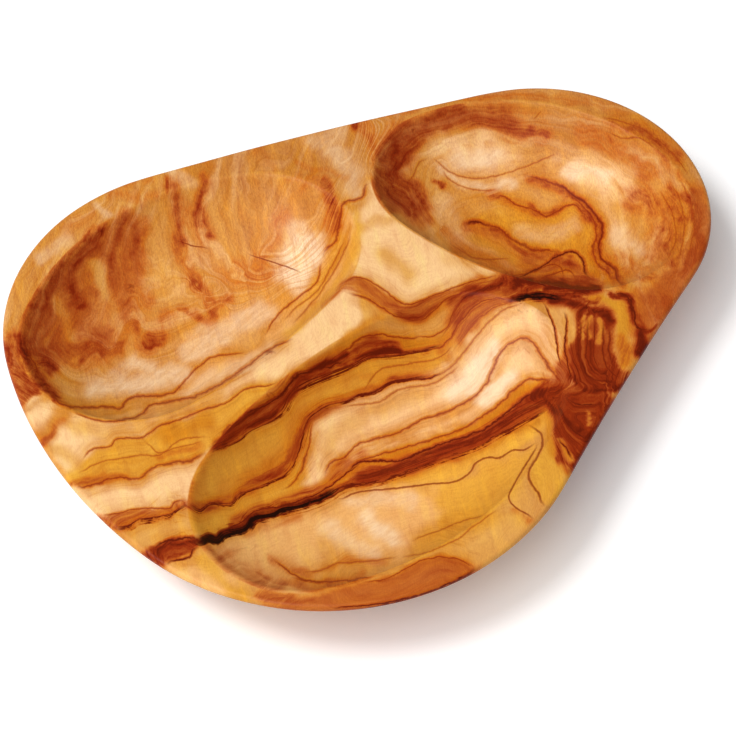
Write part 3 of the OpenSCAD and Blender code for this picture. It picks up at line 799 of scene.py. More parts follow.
# Veins: style, half width in pixels at the start, the middle and the end, and points
VEINS = {
    "left_line": ("line", (3, 4, 2), [
        (25, 345), (35, 365), (45, 385), (55, 397), (68, 407), (100, 407), (120, 408), (128, 400),
        (140, 396), (172, 393), (190, 375), (210, 358), (232, 354), (248, 352)]),
    "left_line_end": ("line", (2, 2.5, 2), [
        (264, 338), (272, 322), (285, 308), (304, 293), (316, 284), (320, 270), (321, 258)]),
    "left_line_lower": ("line", (2, 3.5, 2.5), [
        (70, 410), (100, 421), (130, 419), (143, 413), (150, 406), (165, 402), (195, 396), (230, 378),
        (258, 357), (275, 346), (296, 338)]),
    "left_end": ("line", (3, 4, 3), [
        (373, 183), (366, 186), (361, 198), (345, 203), (340, 215), (338, 230), (335, 242), (325, 250),
        (322, 258)]),
    "strip_line": ("thin", (2, 2, 2), [
        (352, 232), (345, 250), (336, 268), (322, 290), (304, 312), (290, 326)]),
    "strip_line_two": ("thin", (2, 2, 2), [(346, 238), (334, 262), (318, 290), (298, 306), (282, 322)]),
    "ochre_line": ("line", (2, 3, 2), [
        (80, 463), (92, 449), (111, 446), (117, 438), (142, 438), (157, 427), (186, 417), (207, 408),
        (226, 403), (245, 389), (270, 385), (280, 378)]),
    "ochre_edge": ("line", (4, 4, 5), [
        (72, 488), (90, 485), (120, 477), (138, 479), (155, 467), (172, 463), (190, 460), (208, 450)]),
    "ochre_inner": ("thin", (2, 2, 2), [
        (75, 475), (100, 462), (125, 458), (140, 455), (160, 455), (180, 440), (210, 436)]),
    "ochre_mark": ("thin", (1.5, 2, 1.5), [
        (142, 438), (150, 446), (158, 453), (172, 449), (186, 446), (206, 440)]),
    "land_upper": ("line", (2, 2, 3), [
        (98, 516), (120, 513), (135, 509), (168, 508), (175, 502), (190, 500)]),
    "land_lower": ("shade_above", (10, 7, 6), [
        (112, 528), (128, 528), (140, 521), (168, 517), (178, 510), (190, 503)]),
    "fan_upper": ("dark_line", (3, 4, 4), [(150, 550), (166, 541), (180, 538), (202, 539)]),
    "fan_one": ("thin", (2, 2, 2), [(152, 556), (168, 547), (184, 543), (200, 541)]),
    "fan_two": ("thin", (2, 2, 2), [(156, 561), (170, 552), (186, 546), (200, 542)]),
    "fan_lower": ("dark_line", (3, 3, 3), [(163, 566), (175, 560), (190, 557), (192, 550), (202, 546)]),
    "dark_upper": ("line", (4, 4, 3), [
        (208, 450), (220, 437), (240, 418), (262, 404), (280, 394), (290, 381), (300, 371), (320, 366),
        (345, 350), (362, 338), (378, 334), (400, 338), (425, 337)]),
    "dark_upper_end": ("line", (2, 2.5, 3), [
        (412, 337), (432, 336), (446, 328), (454, 312), (466, 298), (490, 286), (520, 287)]),
    "dark_lower": ("shade_above", (12, 15, 10), [
        (208, 452), (235, 441), (250, 430), (272, 420), (285, 410), (292, 395), (307, 385), (325, 377),
        (350, 367), (370, 356), (385, 355), (400, 354), (430, 349), (445, 345)]),
    "dark_lower_end": ("line", (3, 3, 3), [
        (420, 352), (442, 346), (454, 332), (466, 314), (486, 300), (515, 298)]),
    "dark_middle": ("dark_line", (4, 6, 4), [
        (240, 418), (250, 411), (265, 405), (277, 398), (290, 383), (300, 374), (317, 369), (332, 366),
        (348, 358)]),
    "brown_edge": ("shade_above", (7, 12, 7), [
        (188, 503), (200, 511), (210, 504), (232, 504), (240, 494), (270, 482), (288, 472), (297, 455),
        (303, 435), (308, 420), (325, 407), (340, 403), (360, 396), (375, 393), (392, 383), (430, 377)]),
    "brown_inner": ("line", (2, 4, 2), [
        (280, 490), (292, 484), (302, 468), (308, 448), (311, 430), (314, 420)]),
    "brown_upper": ("thin", (2, 3, 2), [
        (232, 492), (262, 474), (285, 462), (297, 442), (302, 426), (312, 414)]),
    "brown_tail": ("thin", (3, 3, 2), [
        (370, 393), (395, 382), (430, 378), (450, 368), (466, 350), (482, 330), (500, 312), (525, 303)]),
    "brown_tail_start": ("dark_line", (3, 3, 2), [(370, 393), (395, 382), (430, 378), (444, 371)]),
    "brown_under": ("thin", (2, 2.5, 2), [
        (340, 407), (360, 404), (380, 402), (398, 390), (430, 384), (452, 372), (462, 362)]),
    "brown_high": ("thin", (2, 2.5, 2), [
        (362, 393), (372, 378), (384, 368), (410, 364), (440, 357), (456, 342)]),
    "arch_line": ("line", (3, 3, 4), [
        (322, 478), (330, 463), (345, 457), (360, 443), (400, 432), (420, 420), (445, 412), (475, 396),
        (488, 380), (497, 358), (508, 345), (522, 338), (533, 342), (548, 366), (562, 380)]),
    "arch_inner": ("line", (3, 3, 4), [
        (350, 466), (362, 460), (400, 449), (430, 440), (460, 430), (480, 418), (500, 403), (515, 388),
        (532, 379), (556, 381)]),
    "vein_upper": ("dark_line", (3, 4, 4), [
        (345, 475), (360, 462), (400, 460), (430, 448), (480, 431), (500, 418), (520, 401), (540, 388)]),
    "vein_core": ("band", (9, 10, 9), [
        (350, 480), (378, 475), (430, 456), (480, 438), (520, 413), (555, 396)]),
    "vein_streak": ("thin", (2, 2, 2), [(384, 472), (430, 452), (480, 434), (510, 414), (540, 394)]),
    "vein_streak_two": ("thin", (2, 2, 2), [(400, 473), (440, 459), (478, 444), (512, 424), (545, 402)]),
    "vein_lower": ("shade_above", (7, 8, 8), [
        (330, 495), (345, 487), (370, 484), (400, 475), (430, 464), (475, 449), (500, 435), (530, 418),
        (548, 407)]),
    "black_vein": ("black", (7, 8, 5), [
        (192, 536), (200, 541), (209, 537), (217, 540), (224, 533), (238, 530), (246, 527), (252, 518),
        (265, 515), (274, 513), (282, 508), (298, 506), (312, 501), (326, 496), (340, 487)]),
    "black_strand": ("dark_line", (2, 3, 2), [
        (214, 535), (230, 528), (246, 519), (254, 511), (276, 507), (300, 500), (324, 490), (346, 474),
        (362, 462)]),
    "black_fade": ("shade_above", (6, 14, 10), [
        (240, 533), (262, 518), (290, 511), (315, 504), (330, 497), (345, 488), (370, 484)]),
    "ink_line": ("ink", (1.4, 1.6, 1.4), [
        (335, 498), (342, 499), (358, 492), (400, 488), (433, 484), (448, 483), (460, 480), (470, 472),
        (477, 462), (490, 457), (500, 458), (512, 450), (525, 450), (538, 441)]),
    "ink_loop": ("ink", (1.4, 1.5, 1.4), [
        (538, 441), (535, 450), (522, 470), (511, 490), (509, 500), (515, 507), (526, 514), (536, 521)]),
    "ink_loop_outer": ("ink", (1.5, 2, 2), [
        (526, 424), (540, 432), (543, 440), (541, 450), (530, 468), (529, 480), (538, 493), (541, 502),
        (548, 507)]),
    "bottom_line": ("line", (2, 3, 2), [(270, 557), (285, 568), (300, 578), (320, 582), (360, 580)]),
    "bottom_smear": ("line", (2, 4, 2), [(290, 577), (320, 583), (350, 580), (376, 576)]),
    "bottom_upper": ("thin", (2, 2.5, 2), [(300, 573), (320, 570), (340, 563), (380, 560), (400, 556)]),
    "bottom_sweep": ("thin", (2, 2, 2), [(398, 557), (425, 553), (455, 540), (480, 522), (500, 508)]),
    "bottom_sweep_two": ("thin", (2, 2, 2), [(408, 542), (440, 530), (465, 520), (490, 514)]),
    "orange_edge": ("line", (2, 2.4, 3), [
        (360, 583), (385, 579), (400, 572), (420, 561), (440, 557), (460, 560), (476, 569)]),
    "rim_edge": ("dark_line", (2, 3, 4), [(330, 608), (380, 604), (430, 592), (456, 580), (478, 568)]),
    "arch_top": ("line", (2, 2.5, 2), [
        (345, 281), (355, 277), (370, 281), (388, 293), (400, 302), (412, 304), (440, 293), (470, 282),
        (500, 275)]),
    "arch_bottom": ("line", (2.5, 3, 2.5), [
        (345, 292), (366, 298), (385, 310), (400, 317), (418, 320), (430, 314), (446, 299), (470, 290),
        (500, 285)]),
    "streak_one": ("thin", (2, 3, 2), [(446, 296), (470, 286), (495, 281), (520, 285)]),
    "streak_two": ("thin", (2, 3, 2), [(440, 340), (454, 318), (464, 303), (490, 291), (525, 292)]),
    "streak_three": ("thin", (2, 3, 2), [(445, 348), (460, 326), (476, 308), (500, 299), (525, 298)]),
    "streak_four": ("thin", (2, 3, 2), [(452, 352), (466, 334), (480, 318), (500, 305), (525, 300)]),
    "streak_five": ("thin", (2, 3, 2), [(440, 300), (462, 293), (484, 285), (510, 286)]),
    "fan_line_one": ("dark_line", (2, 2.4, 2), [
        (542, 299), (550, 316), (556, 336), (558, 354), (563, 370)]),
    "fan_line_two": ("dark_line", (2, 3, 3), [
        (563, 308), (567, 322), (565, 344), (568, 364), (574, 382)]),
    "stack_one": ("ink", (2, 3, 3), [
        (580, 316), (580, 338), (578, 355), (584, 372), (600, 381), (622, 381)]),
    "stack_two": ("ink", (2, 3, 3), [(588, 316), (587, 340), (586, 356), (592, 370), (604, 378)]),
    "stack_three": ("ink", (2, 2, 2), [(595, 316), (594, 345), (594, 360), (602, 374)]),
    "stack_four": ("ink", (2, 3, 2), [(604, 318), (603, 340), (604, 360), (612, 374), (624, 377)]),
    "stack_five": ("ink", (2, 3, 2), [(610, 322), (609, 345), (611, 360), (616, 370)]),
    "right_line": ("dark_line", (3, 5, 4), [
        (610, 294), (622, 294), (631, 301), (634, 312), (636, 324), (644, 330), (653, 327)]),
    "near_core": ("black", (4, 6, 3), [(506, 300), (522, 298), (536, 296), (548, 296), (566, 301)]),
    "near_upper": ("dark_line", (3, 4, 3), [
        (508, 286), (524, 282), (540, 284), (556, 288), (574, 285), (590, 289), (602, 289)]),
    "red_line": ("dark_line", (2, 3, 3), [(552, 400), (560, 408), (570, 426), (586, 440), (592, 442)]),
    "red_line_two": ("dark_line", (2, 3, 2), [(566, 396), (576, 404), (590, 404), (602, 404)]),
    "red_line_three": ("dark_line", (2, 3, 2), [(556, 436), (566, 448), (574, 462)]),
    "right_main": ("line", (4, 7, 7), [
        (523, 174), (545, 180), (560, 185), (575, 197), (585, 202), (594, 212), (602, 224), (603, 234),
        (599, 246), (601, 256), (606, 262), (615, 268), (618, 278), (626, 286)]),
    "right_main_core": ("ink", (2, 3, 2), [
        (552, 181), (562, 186), (574, 196), (586, 203), (593, 212), (601, 223), (602, 234), (598, 246),
        (600, 256), (606, 263), (614, 269), (617, 279), (625, 287)]),
    "right_main_twin": ("line", (3, 4, 4), [
        (566, 192), (580, 203), (590, 214), (596, 226), (595, 240), (593, 252), (598, 264), (608, 274),
        (616, 284)]),
    "right_wave": ("line", (6, 5, 4), [
        (464, 230), (465, 223), (474, 222), (486, 224), (496, 227), (504, 232), (511, 239), (522, 244),
        (532, 249), (548, 251), (562, 250)]),
    "wave_hook": ("dark_line", (4, 4, 2), [(465, 226), (470, 222), (478, 222), (488, 225)]),
    "right_ring": ("dark_line", (3, 4, 4), [
        (512, 280), (530, 272), (546, 263), (558, 255), (568, 252), (578, 254), (584, 262), (586, 272),
        (592, 281)]),
    "right_nest": ("line", (3, 4, 3), [
        (496, 279), (516, 275), (536, 270), (552, 264), (562, 268), (563, 282)]),
    "right_wave_low": ("line", (3, 4, 3), [(530, 283), (546, 276), (558, 272), (570, 270), (577, 282)]),
    "right_slant": ("thin", (2, 3, 2), [(448, 241), (462, 252), (485, 260), (515, 257)]),
    "right_crest": ("line", (3, 4, 3), [
        (494, 194), (506, 198), (516, 204), (530, 208), (545, 215), (556, 212), (566, 205), (576, 205),
        (588, 220)]),
    "right_curl": ("thin", (2, 3, 2), [(373, 182), (390, 188), (410, 180), (420, 162), (432, 158)]),
    "right_sweep": ("thin", (2, 2, 2), [
        (430, 155), (450, 172), (470, 178), (490, 177), (522, 168), (560, 152)]),
    "right_sweep_two": ("thin", (2, 2, 2), [(440, 166), (452, 182), (476, 190), (500, 190)]),
    "wall_arc": ("thin", (2, 3, 2), [(668, 180), (680, 200), (685, 230), (678, 262)]),
    "wall_arc_two": ("thin", (2, 3, 2), [(658, 188), (672, 212), (676, 240), (664, 266)]),
    "wall_arc_three": ("thin", (2, 3, 2), [(604, 130), (622, 138), (640, 138), (660, 152)]),
    "rim_arc": ("thin", (2, 3, 2), [(678, 176), (690, 200), (694, 230), (686, 262)]),
    "rim_arc_two": ("thin", (2, 3, 2), [(600, 116), (640, 128), (672, 152), (690, 178)]),
    "tick": ("thin", (1.5, 2, 1.5), [(532, 120), (542, 110)]),
    "check": ("ink", (1, 1.2, 1), [(172, 239), (190, 245), (212, 249)]),
    "scratch": ("ink", (1, 1.2, 1), [(245, 253), (262, 259), (285, 266), (304, 274)]),
    "knot_one": ("ink", (2, 3, 2), [(128, 286), (131, 286), (134, 286)]),
    "knot_two": ("ink", (2, 4, 2), [(264, 354), (268, 352), (274, 350)]),
    "knot_three": ("ink", (2, 3, 2), [(267, 392), (269, 391), (271, 390)]),
    "knot_four": ("ink", (2, 3, 2), [(412, 130), (414, 129), (416, 128)]),
}

# Across a vein, from -1 above it to 1 below it: place, colour and cover
STYLES = {
    "shade_above": [
        (-1, "amber", 0), (-0.75, "amber", 0.5), (-0.45, "orange", 0.75), (-0.2, "brick", 0.9),
        (-0.04, "dark", 1), (0.1, "dark", 1), (0.2, "orange", 0.7), (0.4, "amber", 0)],
    "band": [
        (-1, "orange", 0), (-0.8, "brick", 0.6), (-0.45, "redbrown", 0.8), (-0.05, "dark", 0.95),
        (0.3, "redbrown", 0.9), (0.75, "brick", 0.7), (0.9, "orange", 0.4), (1, "amber", 0)],
    "line": [
        (-1, "amber", 0), (-0.65, "amber", 0.6), (-0.3, "orange", 0.8), (-0.05, "redbrown", 0.85),
        (0.15, "redbrown", 0.85), (0.45, "orange", 0.6), (0.9, "amber", 0)],
    "thin": [
        (-1, "amber", 0), (-0.5, "amber", 0.6), (-0.1, "brick", 0.7), (0.15, "brick", 0.7),
        (0.5, "amber", 0.5), (1, "amber", 0)],
    "dark_line": [
        (-1, "amber", 0), (-0.65, "orange", 0.7), (-0.3, "brick", 0.9), (-0.05, "dark", 1),
        (0.15, "dark", 1), (0.4, "brick", 0.7), (0.8, "amber", 0)],
    "black": [
        (-1, "amber", 0), (-0.75, "redbrown", 0.8), (-0.35, "dark", 1), (-0.05, "black", 1),
        (0.45, "black", 1), (0.62, "dark", 0.8), (0.8, "orange", 0)],
    "ink": [
        (-1, "orange", 0), (-0.4, "redbrown", 0.8), (0, "dark", 0.8), (0.3, "redbrown", 0.8),
        (1, "orange", 0)],
}

# How far fine streaks shift the colours across a vein
STREAKED = {
    "shade_above": 0.9, "band": 1.2, "black": 0.9, "line": 0.25, "thin": 0.3, "dark_line": 0.3,
    "ink": 0.1,
}

# Places of the red and dark colours on the depth ramp, and of the pale ones on the lightness
DEPTHS = {
    "orange": 0.4, "rust": 0.52, "brick": 0.66, "redbrown": 0.82, "dark": 1.0,
}
LIGHTS = {
    "cream": 0.6, "pale": 0.95,
}
DEPTH_RAMP = [
    (0.0, "amber", 0), (0.2, "orange", 0.3), (0.36, "orange", 0.6), (0.5, "rust", 0.8),
    (0.64, "brick", 0.92), (0.8, "redbrown", 1), (1.0, "dark", 1),
]

# Area of striped growth; elsewhere the figure is curled
STRIPED_AREA = [
    (0, 380), (60, 400), (120, 405), (200, 370), (260, 340), (320, 270), (345, 200), (375, 185),
    (470, 260), (600, 290), (640, 300), (620, 400), (560, 500), (450, 620), (300, 640), (150, 580),
    (20, 460),
]

# Main veins that the growth lines follow, with their places across the growth in pixels
GROWTH_LEVELS = {
    "left_line": 0, "left_line_lower": 14, "left_end": -10, "ochre_line": 36, "ochre_edge": 66,
    "dark_upper": 62, "dark_lower": 80, "brown_edge": 122, "brown_tail": 122, "arch_line": 165,
    "arch_inner": 182, "vein_lower": 206, "black_vein": 208, "ink_line": 224, "orange_edge": 300,
    "arch_top": 30, "arch_bottom": 45, "stack_two": 90, "right_main": 60, "dark_upper_end": 62,
    "dark_lower_end": 80, "red_line": 130, "red_line_two": 116,
}

# Lines that the curl follows in and behind the left and right wells, with their places across it
CURL_LINES = {
    "left_rim": (-40, [(100, 200), (60, 225), (40, 260), (22, 300), (14, 345), (24, 390)]),
    "left_wall": (-80, [
        (104, 212), (94, 238), (76, 258), (72, 285), (62, 320), (50, 345), (75, 366), (95, 352),
        (107, 366), (122, 350), (132, 330), (146, 352), (168, 350), (192, 332), (222, 304)]),
    "left_floor": (-30, [
        (45, 370), (75, 395), (110, 395), (150, 378), (185, 362), (240, 335), (290, 300)]),
    "flame_line_one": (-115, [
        (140, 178), (124, 214), (113, 250), (111, 278), (104, 305), (98, 330), (110, 342), (124, 318),
        (134, 300), (146, 322), (166, 322), (190, 308), (212, 286)]),
    "flame_line_two": (-140, [
        (150, 190), (136, 230), (137, 262), (138, 285), (148, 300), (166, 296), (186, 282)]),
    "flame_line_three": (-177, [
        (178, 165), (176, 198), (179, 238), (183, 264), (196, 285), (208, 300), (224, 298)]),
    "flame_line_four": (-203, [(214, 152), (207, 178), (198, 220), (204, 250), (216, 270), (234, 280)]),
    "flame_line_five": (-240, [(252, 142), (240, 175), (236, 215), (244, 250), (262, 262)]),
    "flame_line_six": (-280, [(318, 130), (310, 165), (284, 212), (276, 238), (258, 258)]),
    "flame_line_seven": (-325, [(356, 118), (346, 150), (334, 185), (334, 228)]),
    "right_arc": (0, [
        (380, 160), (415, 118), (480, 104), (540, 106), (604, 124), (656, 160), (684, 215), (678, 264)]),
    "right_arc_two": (24, [
        (398, 176), (424, 140), (480, 128), (540, 132), (592, 148), (634, 176), (654, 216), (642, 258)]),
    "right_arc_three": (50, [
        (420, 200), (440, 164), (470, 180), (500, 180), (540, 166), (584, 166), (612, 190), (624, 226),
        (620, 262)]),
    "right_arc_four": (76, [
        (450, 220), (470, 202), (500, 195), (540, 213), (574, 204), (596, 226), (600, 262)]),
    "right_rim": (-24, [
        (376, 110), (460, 92), (560, 88), (640, 112), (690, 165), (706, 220), (690, 280)]),
}


# Painting the figure on the mesh

def linear(name):
    """A palette colour as linear red, green and blue."""
    srgb = np.array(PALETTE[name]) / 255
    return np.where(srgb <= 0.04045, srgb / 12.92, ((srgb + 0.055) / 1.055) ** 2.4)


def smooth_step(low, high, value):
    t = np.clip((value - low) / (high - low), 0, 1)
    return t * t * (3 - 2 * t)


def photo_pixels(points):
    """Where the photograph's camera sees points in space, in pixels."""
    ahead = np.array((0, math.cos(CAMERA_ELEVATION), -math.sin(CAMERA_ELEVATION)))
    up = np.array((0, math.sin(CAMERA_ELEVATION), math.cos(CAMERA_ELEVATION)))
    away = points - (np.array(CAMERA_TARGET) - CAMERA_DISTANCE * ahead)
    scale = IMAGE_SIZE * LENS / SENSOR_WIDTH / (away @ ahead)
    return np.column_stack([IMAGE_SIZE / 2 + away[:, 0] * scale, IMAGE_SIZE / 2 - (away @ up) * scale])


def figure_pixels(points, normals, top):
    """The pixel of the figure that each point of the dish shows."""
    below = smooth_step(*BELOW_NORMALS, normals[:, 2])
    under_rim = below * (top - points[:, 2])
    lifted = points.copy()
    lifted[:, 2] += (1 - FIGURE_TILT) * under_rim
    sway = np.array([noise.noise_vector(Vector(p) / DRIFT_SIZE)[:2] for p in points])
    return photo_pixels(lifted) + DRIFT * (under_rim / top)[:, None] * sway


def smooth_line(points, closed=False):
    """A rounded line through given points."""
    p = np.array(points, float)
    if closed:
        before, start, end, after = (np.roll(p, shift, axis=0) for shift in (1, 0, -1, -2))
    else:
        padded = np.vstack([2 * p[0] - p[1], p, 2 * p[-1] - p[-2]])
        before, start, end, after = padded[:-3], padded[1:-2], padded[2:-1], padded[3:]
    t = np.linspace(0, 1, LINE_STEPS, endpoint=False)[None, :, None]
    a, b, c, d = (q[:, None, :] for q in (before, start, end, after))
    bend = (2 * a - 5 * b + 4 * c - d) * t**2 + (3 * b - a - 3 * c + d) * t**3
    curve = (2 * b + (c - a) * t + bend) / 2
    last = p[:1] if closed else p[-1:]
    return np.vstack([curve.reshape(-1, 2), last])


def nearest_on_line(pixels, line):
    """Signed distance from a line, positive below a line that runs to the right, the length along it
    and its whole length."""
    best = np.full(len(pixels), np.inf)
    side = np.ones(len(pixels))
    along = np.zeros(len(pixels))
    gone = 0.0
    for start, end in zip(line[:-1], line[1:]):
        ahead = end - start
        length = np.hypot(*ahead)
        offset = pixels - start
        t = np.clip(offset @ ahead / length**2, 0, 1)
        gap = np.hypot(offset[:, 0] - t * ahead[0], offset[:, 1] - t * ahead[1])
        closer = gap < best
        cross = ahead[0] * offset[:, 1] - ahead[1] * offset[:, 0]
        best = np.where(closer, gap, best)
        side = np.where(closer, np.where(cross < 0, -1.0, 1.0), side)
        along = np.where(closer, gone + t * length, along)
        gone += length
    return best * side, along, gone


def near_box(pixels, line, margin):
    """Indices of the pixels in the box round a line, with a margin."""
    low, high = line.min(axis=0) - margin, line.max(axis=0) + margin
    return np.flatnonzero(np.all((pixels > low) & (pixels < high), axis=1))


def patch_cover(pixels, corners, softness, ragged=None):
    """How far each pixel lies in a patch, from 0 to 1, with an edge that noise may make ragged."""
    outline = smooth_line(corners, closed=True)
    cover = np.zeros(len(pixels))
    near = near_box(pixels, outline, 2 * softness)
    gap, _, _ = nearest_on_line(pixels[near], outline)
    depth = np.where(inside(pixels[near], outline), 1, -1) * np.abs(gap)
    if ragged is not None:
        depth = depth + softness * ragged[near]
    cover[near] = smooth_step(-softness, softness, depth)
    return cover


def shown_on(name, carved):
    """Where a patch or a stroke shows: on the land, in the wells or on both."""
    if name in LAND_ONLY:
        return 1 - carved
    return carved if name in WELL_ONLY else np.ones_like(carved)


def paint_tone(pixels, carved):
    """The ground colour at each pixel, and masks from 0 to 1: how red and dark it is, how pale and
    how even. Most of it is the wood's figure; some patches and strokes are painted highlights, in
    the colour and the pale mask, and painted shade, in the red and dark mask."""
    flat = [Vector((x, y, 0)) for x, y in pixels]
    sway = np.array([noise.noise_vector(p / PATCH_SWAY_SIZE)[:2] for p in flat])
    ragged = np.array([noise.turbulence(p / RAGGED_SIZE, RAGGED_OCTAVES, False) for p in flat])
    swayed = pixels + PATCH_SWAY * sway
    tone = np.tile(linear(GROUND), (len(pixels), 1))
    depth, light, calm = np.zeros((3, len(pixels)))
    for name, (colour, softness, corners) in PATCHES.items():
        cover = patch_cover(swayed, corners, softness, ragged) * shown_on(name, carved)
        calm += cover * (CALM.get(name, 0) - calm)
        depth += cover * (DEPTHS.get(colour, 0) - depth)
        if colour not in DEPTHS:
            tone += cover[:, None] * (linear(colour) - tone)
    for name, (colour, strength, width, points) in STROKES.items():
        line = smooth_line(points)
        near = near_box(swayed, line, 2 * width)
        gap, _, _ = nearest_on_line(swayed[near], line)
        cover = strength * smooth_step(*STROKE_FADE, np.abs(gap) / width + STROKE_RAGGED * ragged[near])
        cover *= shown_on(name, carved[near])
        if colour in DEPTHS:
            depth[near] = np.maximum(depth[near], DEPTHS[colour] * cover)
            continue
        depth[near] *= 1 - cover
        if colour in LIGHTS:
            light[near] = np.maximum(light[near], LIGHTS[colour] * cover)
        else:
            tone[near] += cover[:, None] * (linear(colour) - tone[near])
    return tone, depth, light, calm


def vein_values(pixels, widths, points):
    """Three values for one vein: its place across its width, how far a pixel of wobble moves that, and
    its strength. Also returns its halo, which fades away from it."""
    line = smooth_line(points)
    values = np.zeros((len(pixels), 3))
    halo = np.zeros(len(pixels))
    vein_margin = VEIN_REACH[0] * max(*widths, FULL_WOBBLE_WIDTH)
    near = near_box(pixels, line, max(vein_margin, HALO_REACH[0] * VEIN_HALO))
    gap, along, length = nearest_on_line(pixels[near], line)
    width = np.interp(along / length, (0, 0.5, 1), widths)
    wobble_width = np.maximum(width, FULL_WOBBLE_WIDTH)
    fade_length = min(VEIN_FADE, SHORT_VEIN_FADE * length)
    fade = smooth_step(0, fade_length, np.minimum(along, length - along))
    reach = smooth_step(*VEIN_REACH, np.abs(gap) / wobble_width)
    values[near] = np.column_stack([0.5 + 0.5 * gap / width, 0.5 / wobble_width, fade * reach])
    around = smooth_step(*HALO_REACH, np.abs(gap) / VEIN_HALO)
    halo[near] = fade * around * np.minimum(1, width / FULL_HALO_WIDTH)
    return values, halo


def grouped_veins(pixels, edges):
    """Veins of one style that lie clear of each other, gathered so that each group needs one attribute.
    Also returns the halo round all veins but the ink ones."""
    groups = []
    halo = np.zeros(len(pixels))
    for style, widths, line in VEINS.values():
        values, around = vein_values(pixels, widths, line)
        if style != "ink":
            halo = np.maximum(halo, around)
        shown = values[:, 2] > 0
        reach = shown.copy()
        reach[edges[:, 0]] |= shown[edges[:, 1]]
        reach[edges[:, 1]] |= shown[edges[:, 0]]
        for group in groups:
            if group["style"] == style and not np.any(group["taken"] & reach):
                break
        else:
            taken = np.zeros(len(pixels), bool)
            group = {"style": style, "values": np.zeros_like(values), "taken": taken}
            groups.append(group)
        group["values"][shown] = values[shown]
        group["taken"] |= reach
    groups.sort(key=lambda group: list(STYLES).index(group["style"]))
    return groups, halo


def growth_values(pixels, lines):
    """A coordinate across the growth lines: near each guiding line it is the line's level plus the
    distance from it."""
    total = np.zeros(len(pixels))
    weights = np.zeros(len(pixels))
    for level, points in lines:
        gap, _, _ = nearest_on_line(pixels, np.array(points, float))
        weight = 1 / (np.abs(gap) + GROWTH_SOFTNESS) ** GROWTH_FALLOFF
        total += weight * (level + gap)
        weights += weight
    return total / weights


def set_attribute(data, name, columns, kind="FLOAT_VECTOR", field="vector"):
    layer = data.attributes.new(name, kind, "POINT")
    values = np.column_stack(columns).astype(np.float32)
    layer.data.foreach_set(field, values.ravel())


def vertex_vectors(data, field):
    values = np.empty(3 * len(data.vertices), np.float32)
    data.vertices.foreach_get(field, values)
    return values.reshape(-1, 3).astype(float)


def paint_figure(data, carved, top):
    """Writes the figure of the wood, with its painted highlights and painted shade, on the mesh as
    attributes, and returns the styles of its veins.
    """
    pixels = figure_pixels(vertex_vectors(data, "co"), vertex_vectors(data, "normal"), top)
    tone, depth, light, calm = paint_tone(pixels, carved)
    growth = growth_values(pixels, [(level, VEINS[name][2]) for name, level in GROWTH_LEVELS.items()])
    curled = growth_values(pixels, CURL_LINES.values())
    burl = 1 - patch_cover(pixels, STRIPED_AREA, STRIPED_SOFTNESS)
    edges = np.empty(2 * len(data.edges), np.int32)
    data.edges.foreach_get("vertices", edges)
    groups, halo = grouped_veins(pixels, edges.reshape(-1, 2))
    set_attribute(data, "tone", [tone, np.ones(len(tone))], "FLOAT_COLOR", "color")
    set_attribute(data, "figure", [pixels / FIGURE_UNIT, growth / FIGURE_UNIT])
    set_attribute(data, "masks", [depth, light, calm])
    set_attribute(data, "areas", [burl, halo, curled / FIGURE_UNIT])
    for i, group in enumerate(groups):
        set_attribute(data, f"veins_{i}", [group["values"]])
    return [group["style"] for group in groups]


# The olive wood

def rgba(name):
    """A palette colour as shader sockets take it."""
    return (*linear(name), 1)


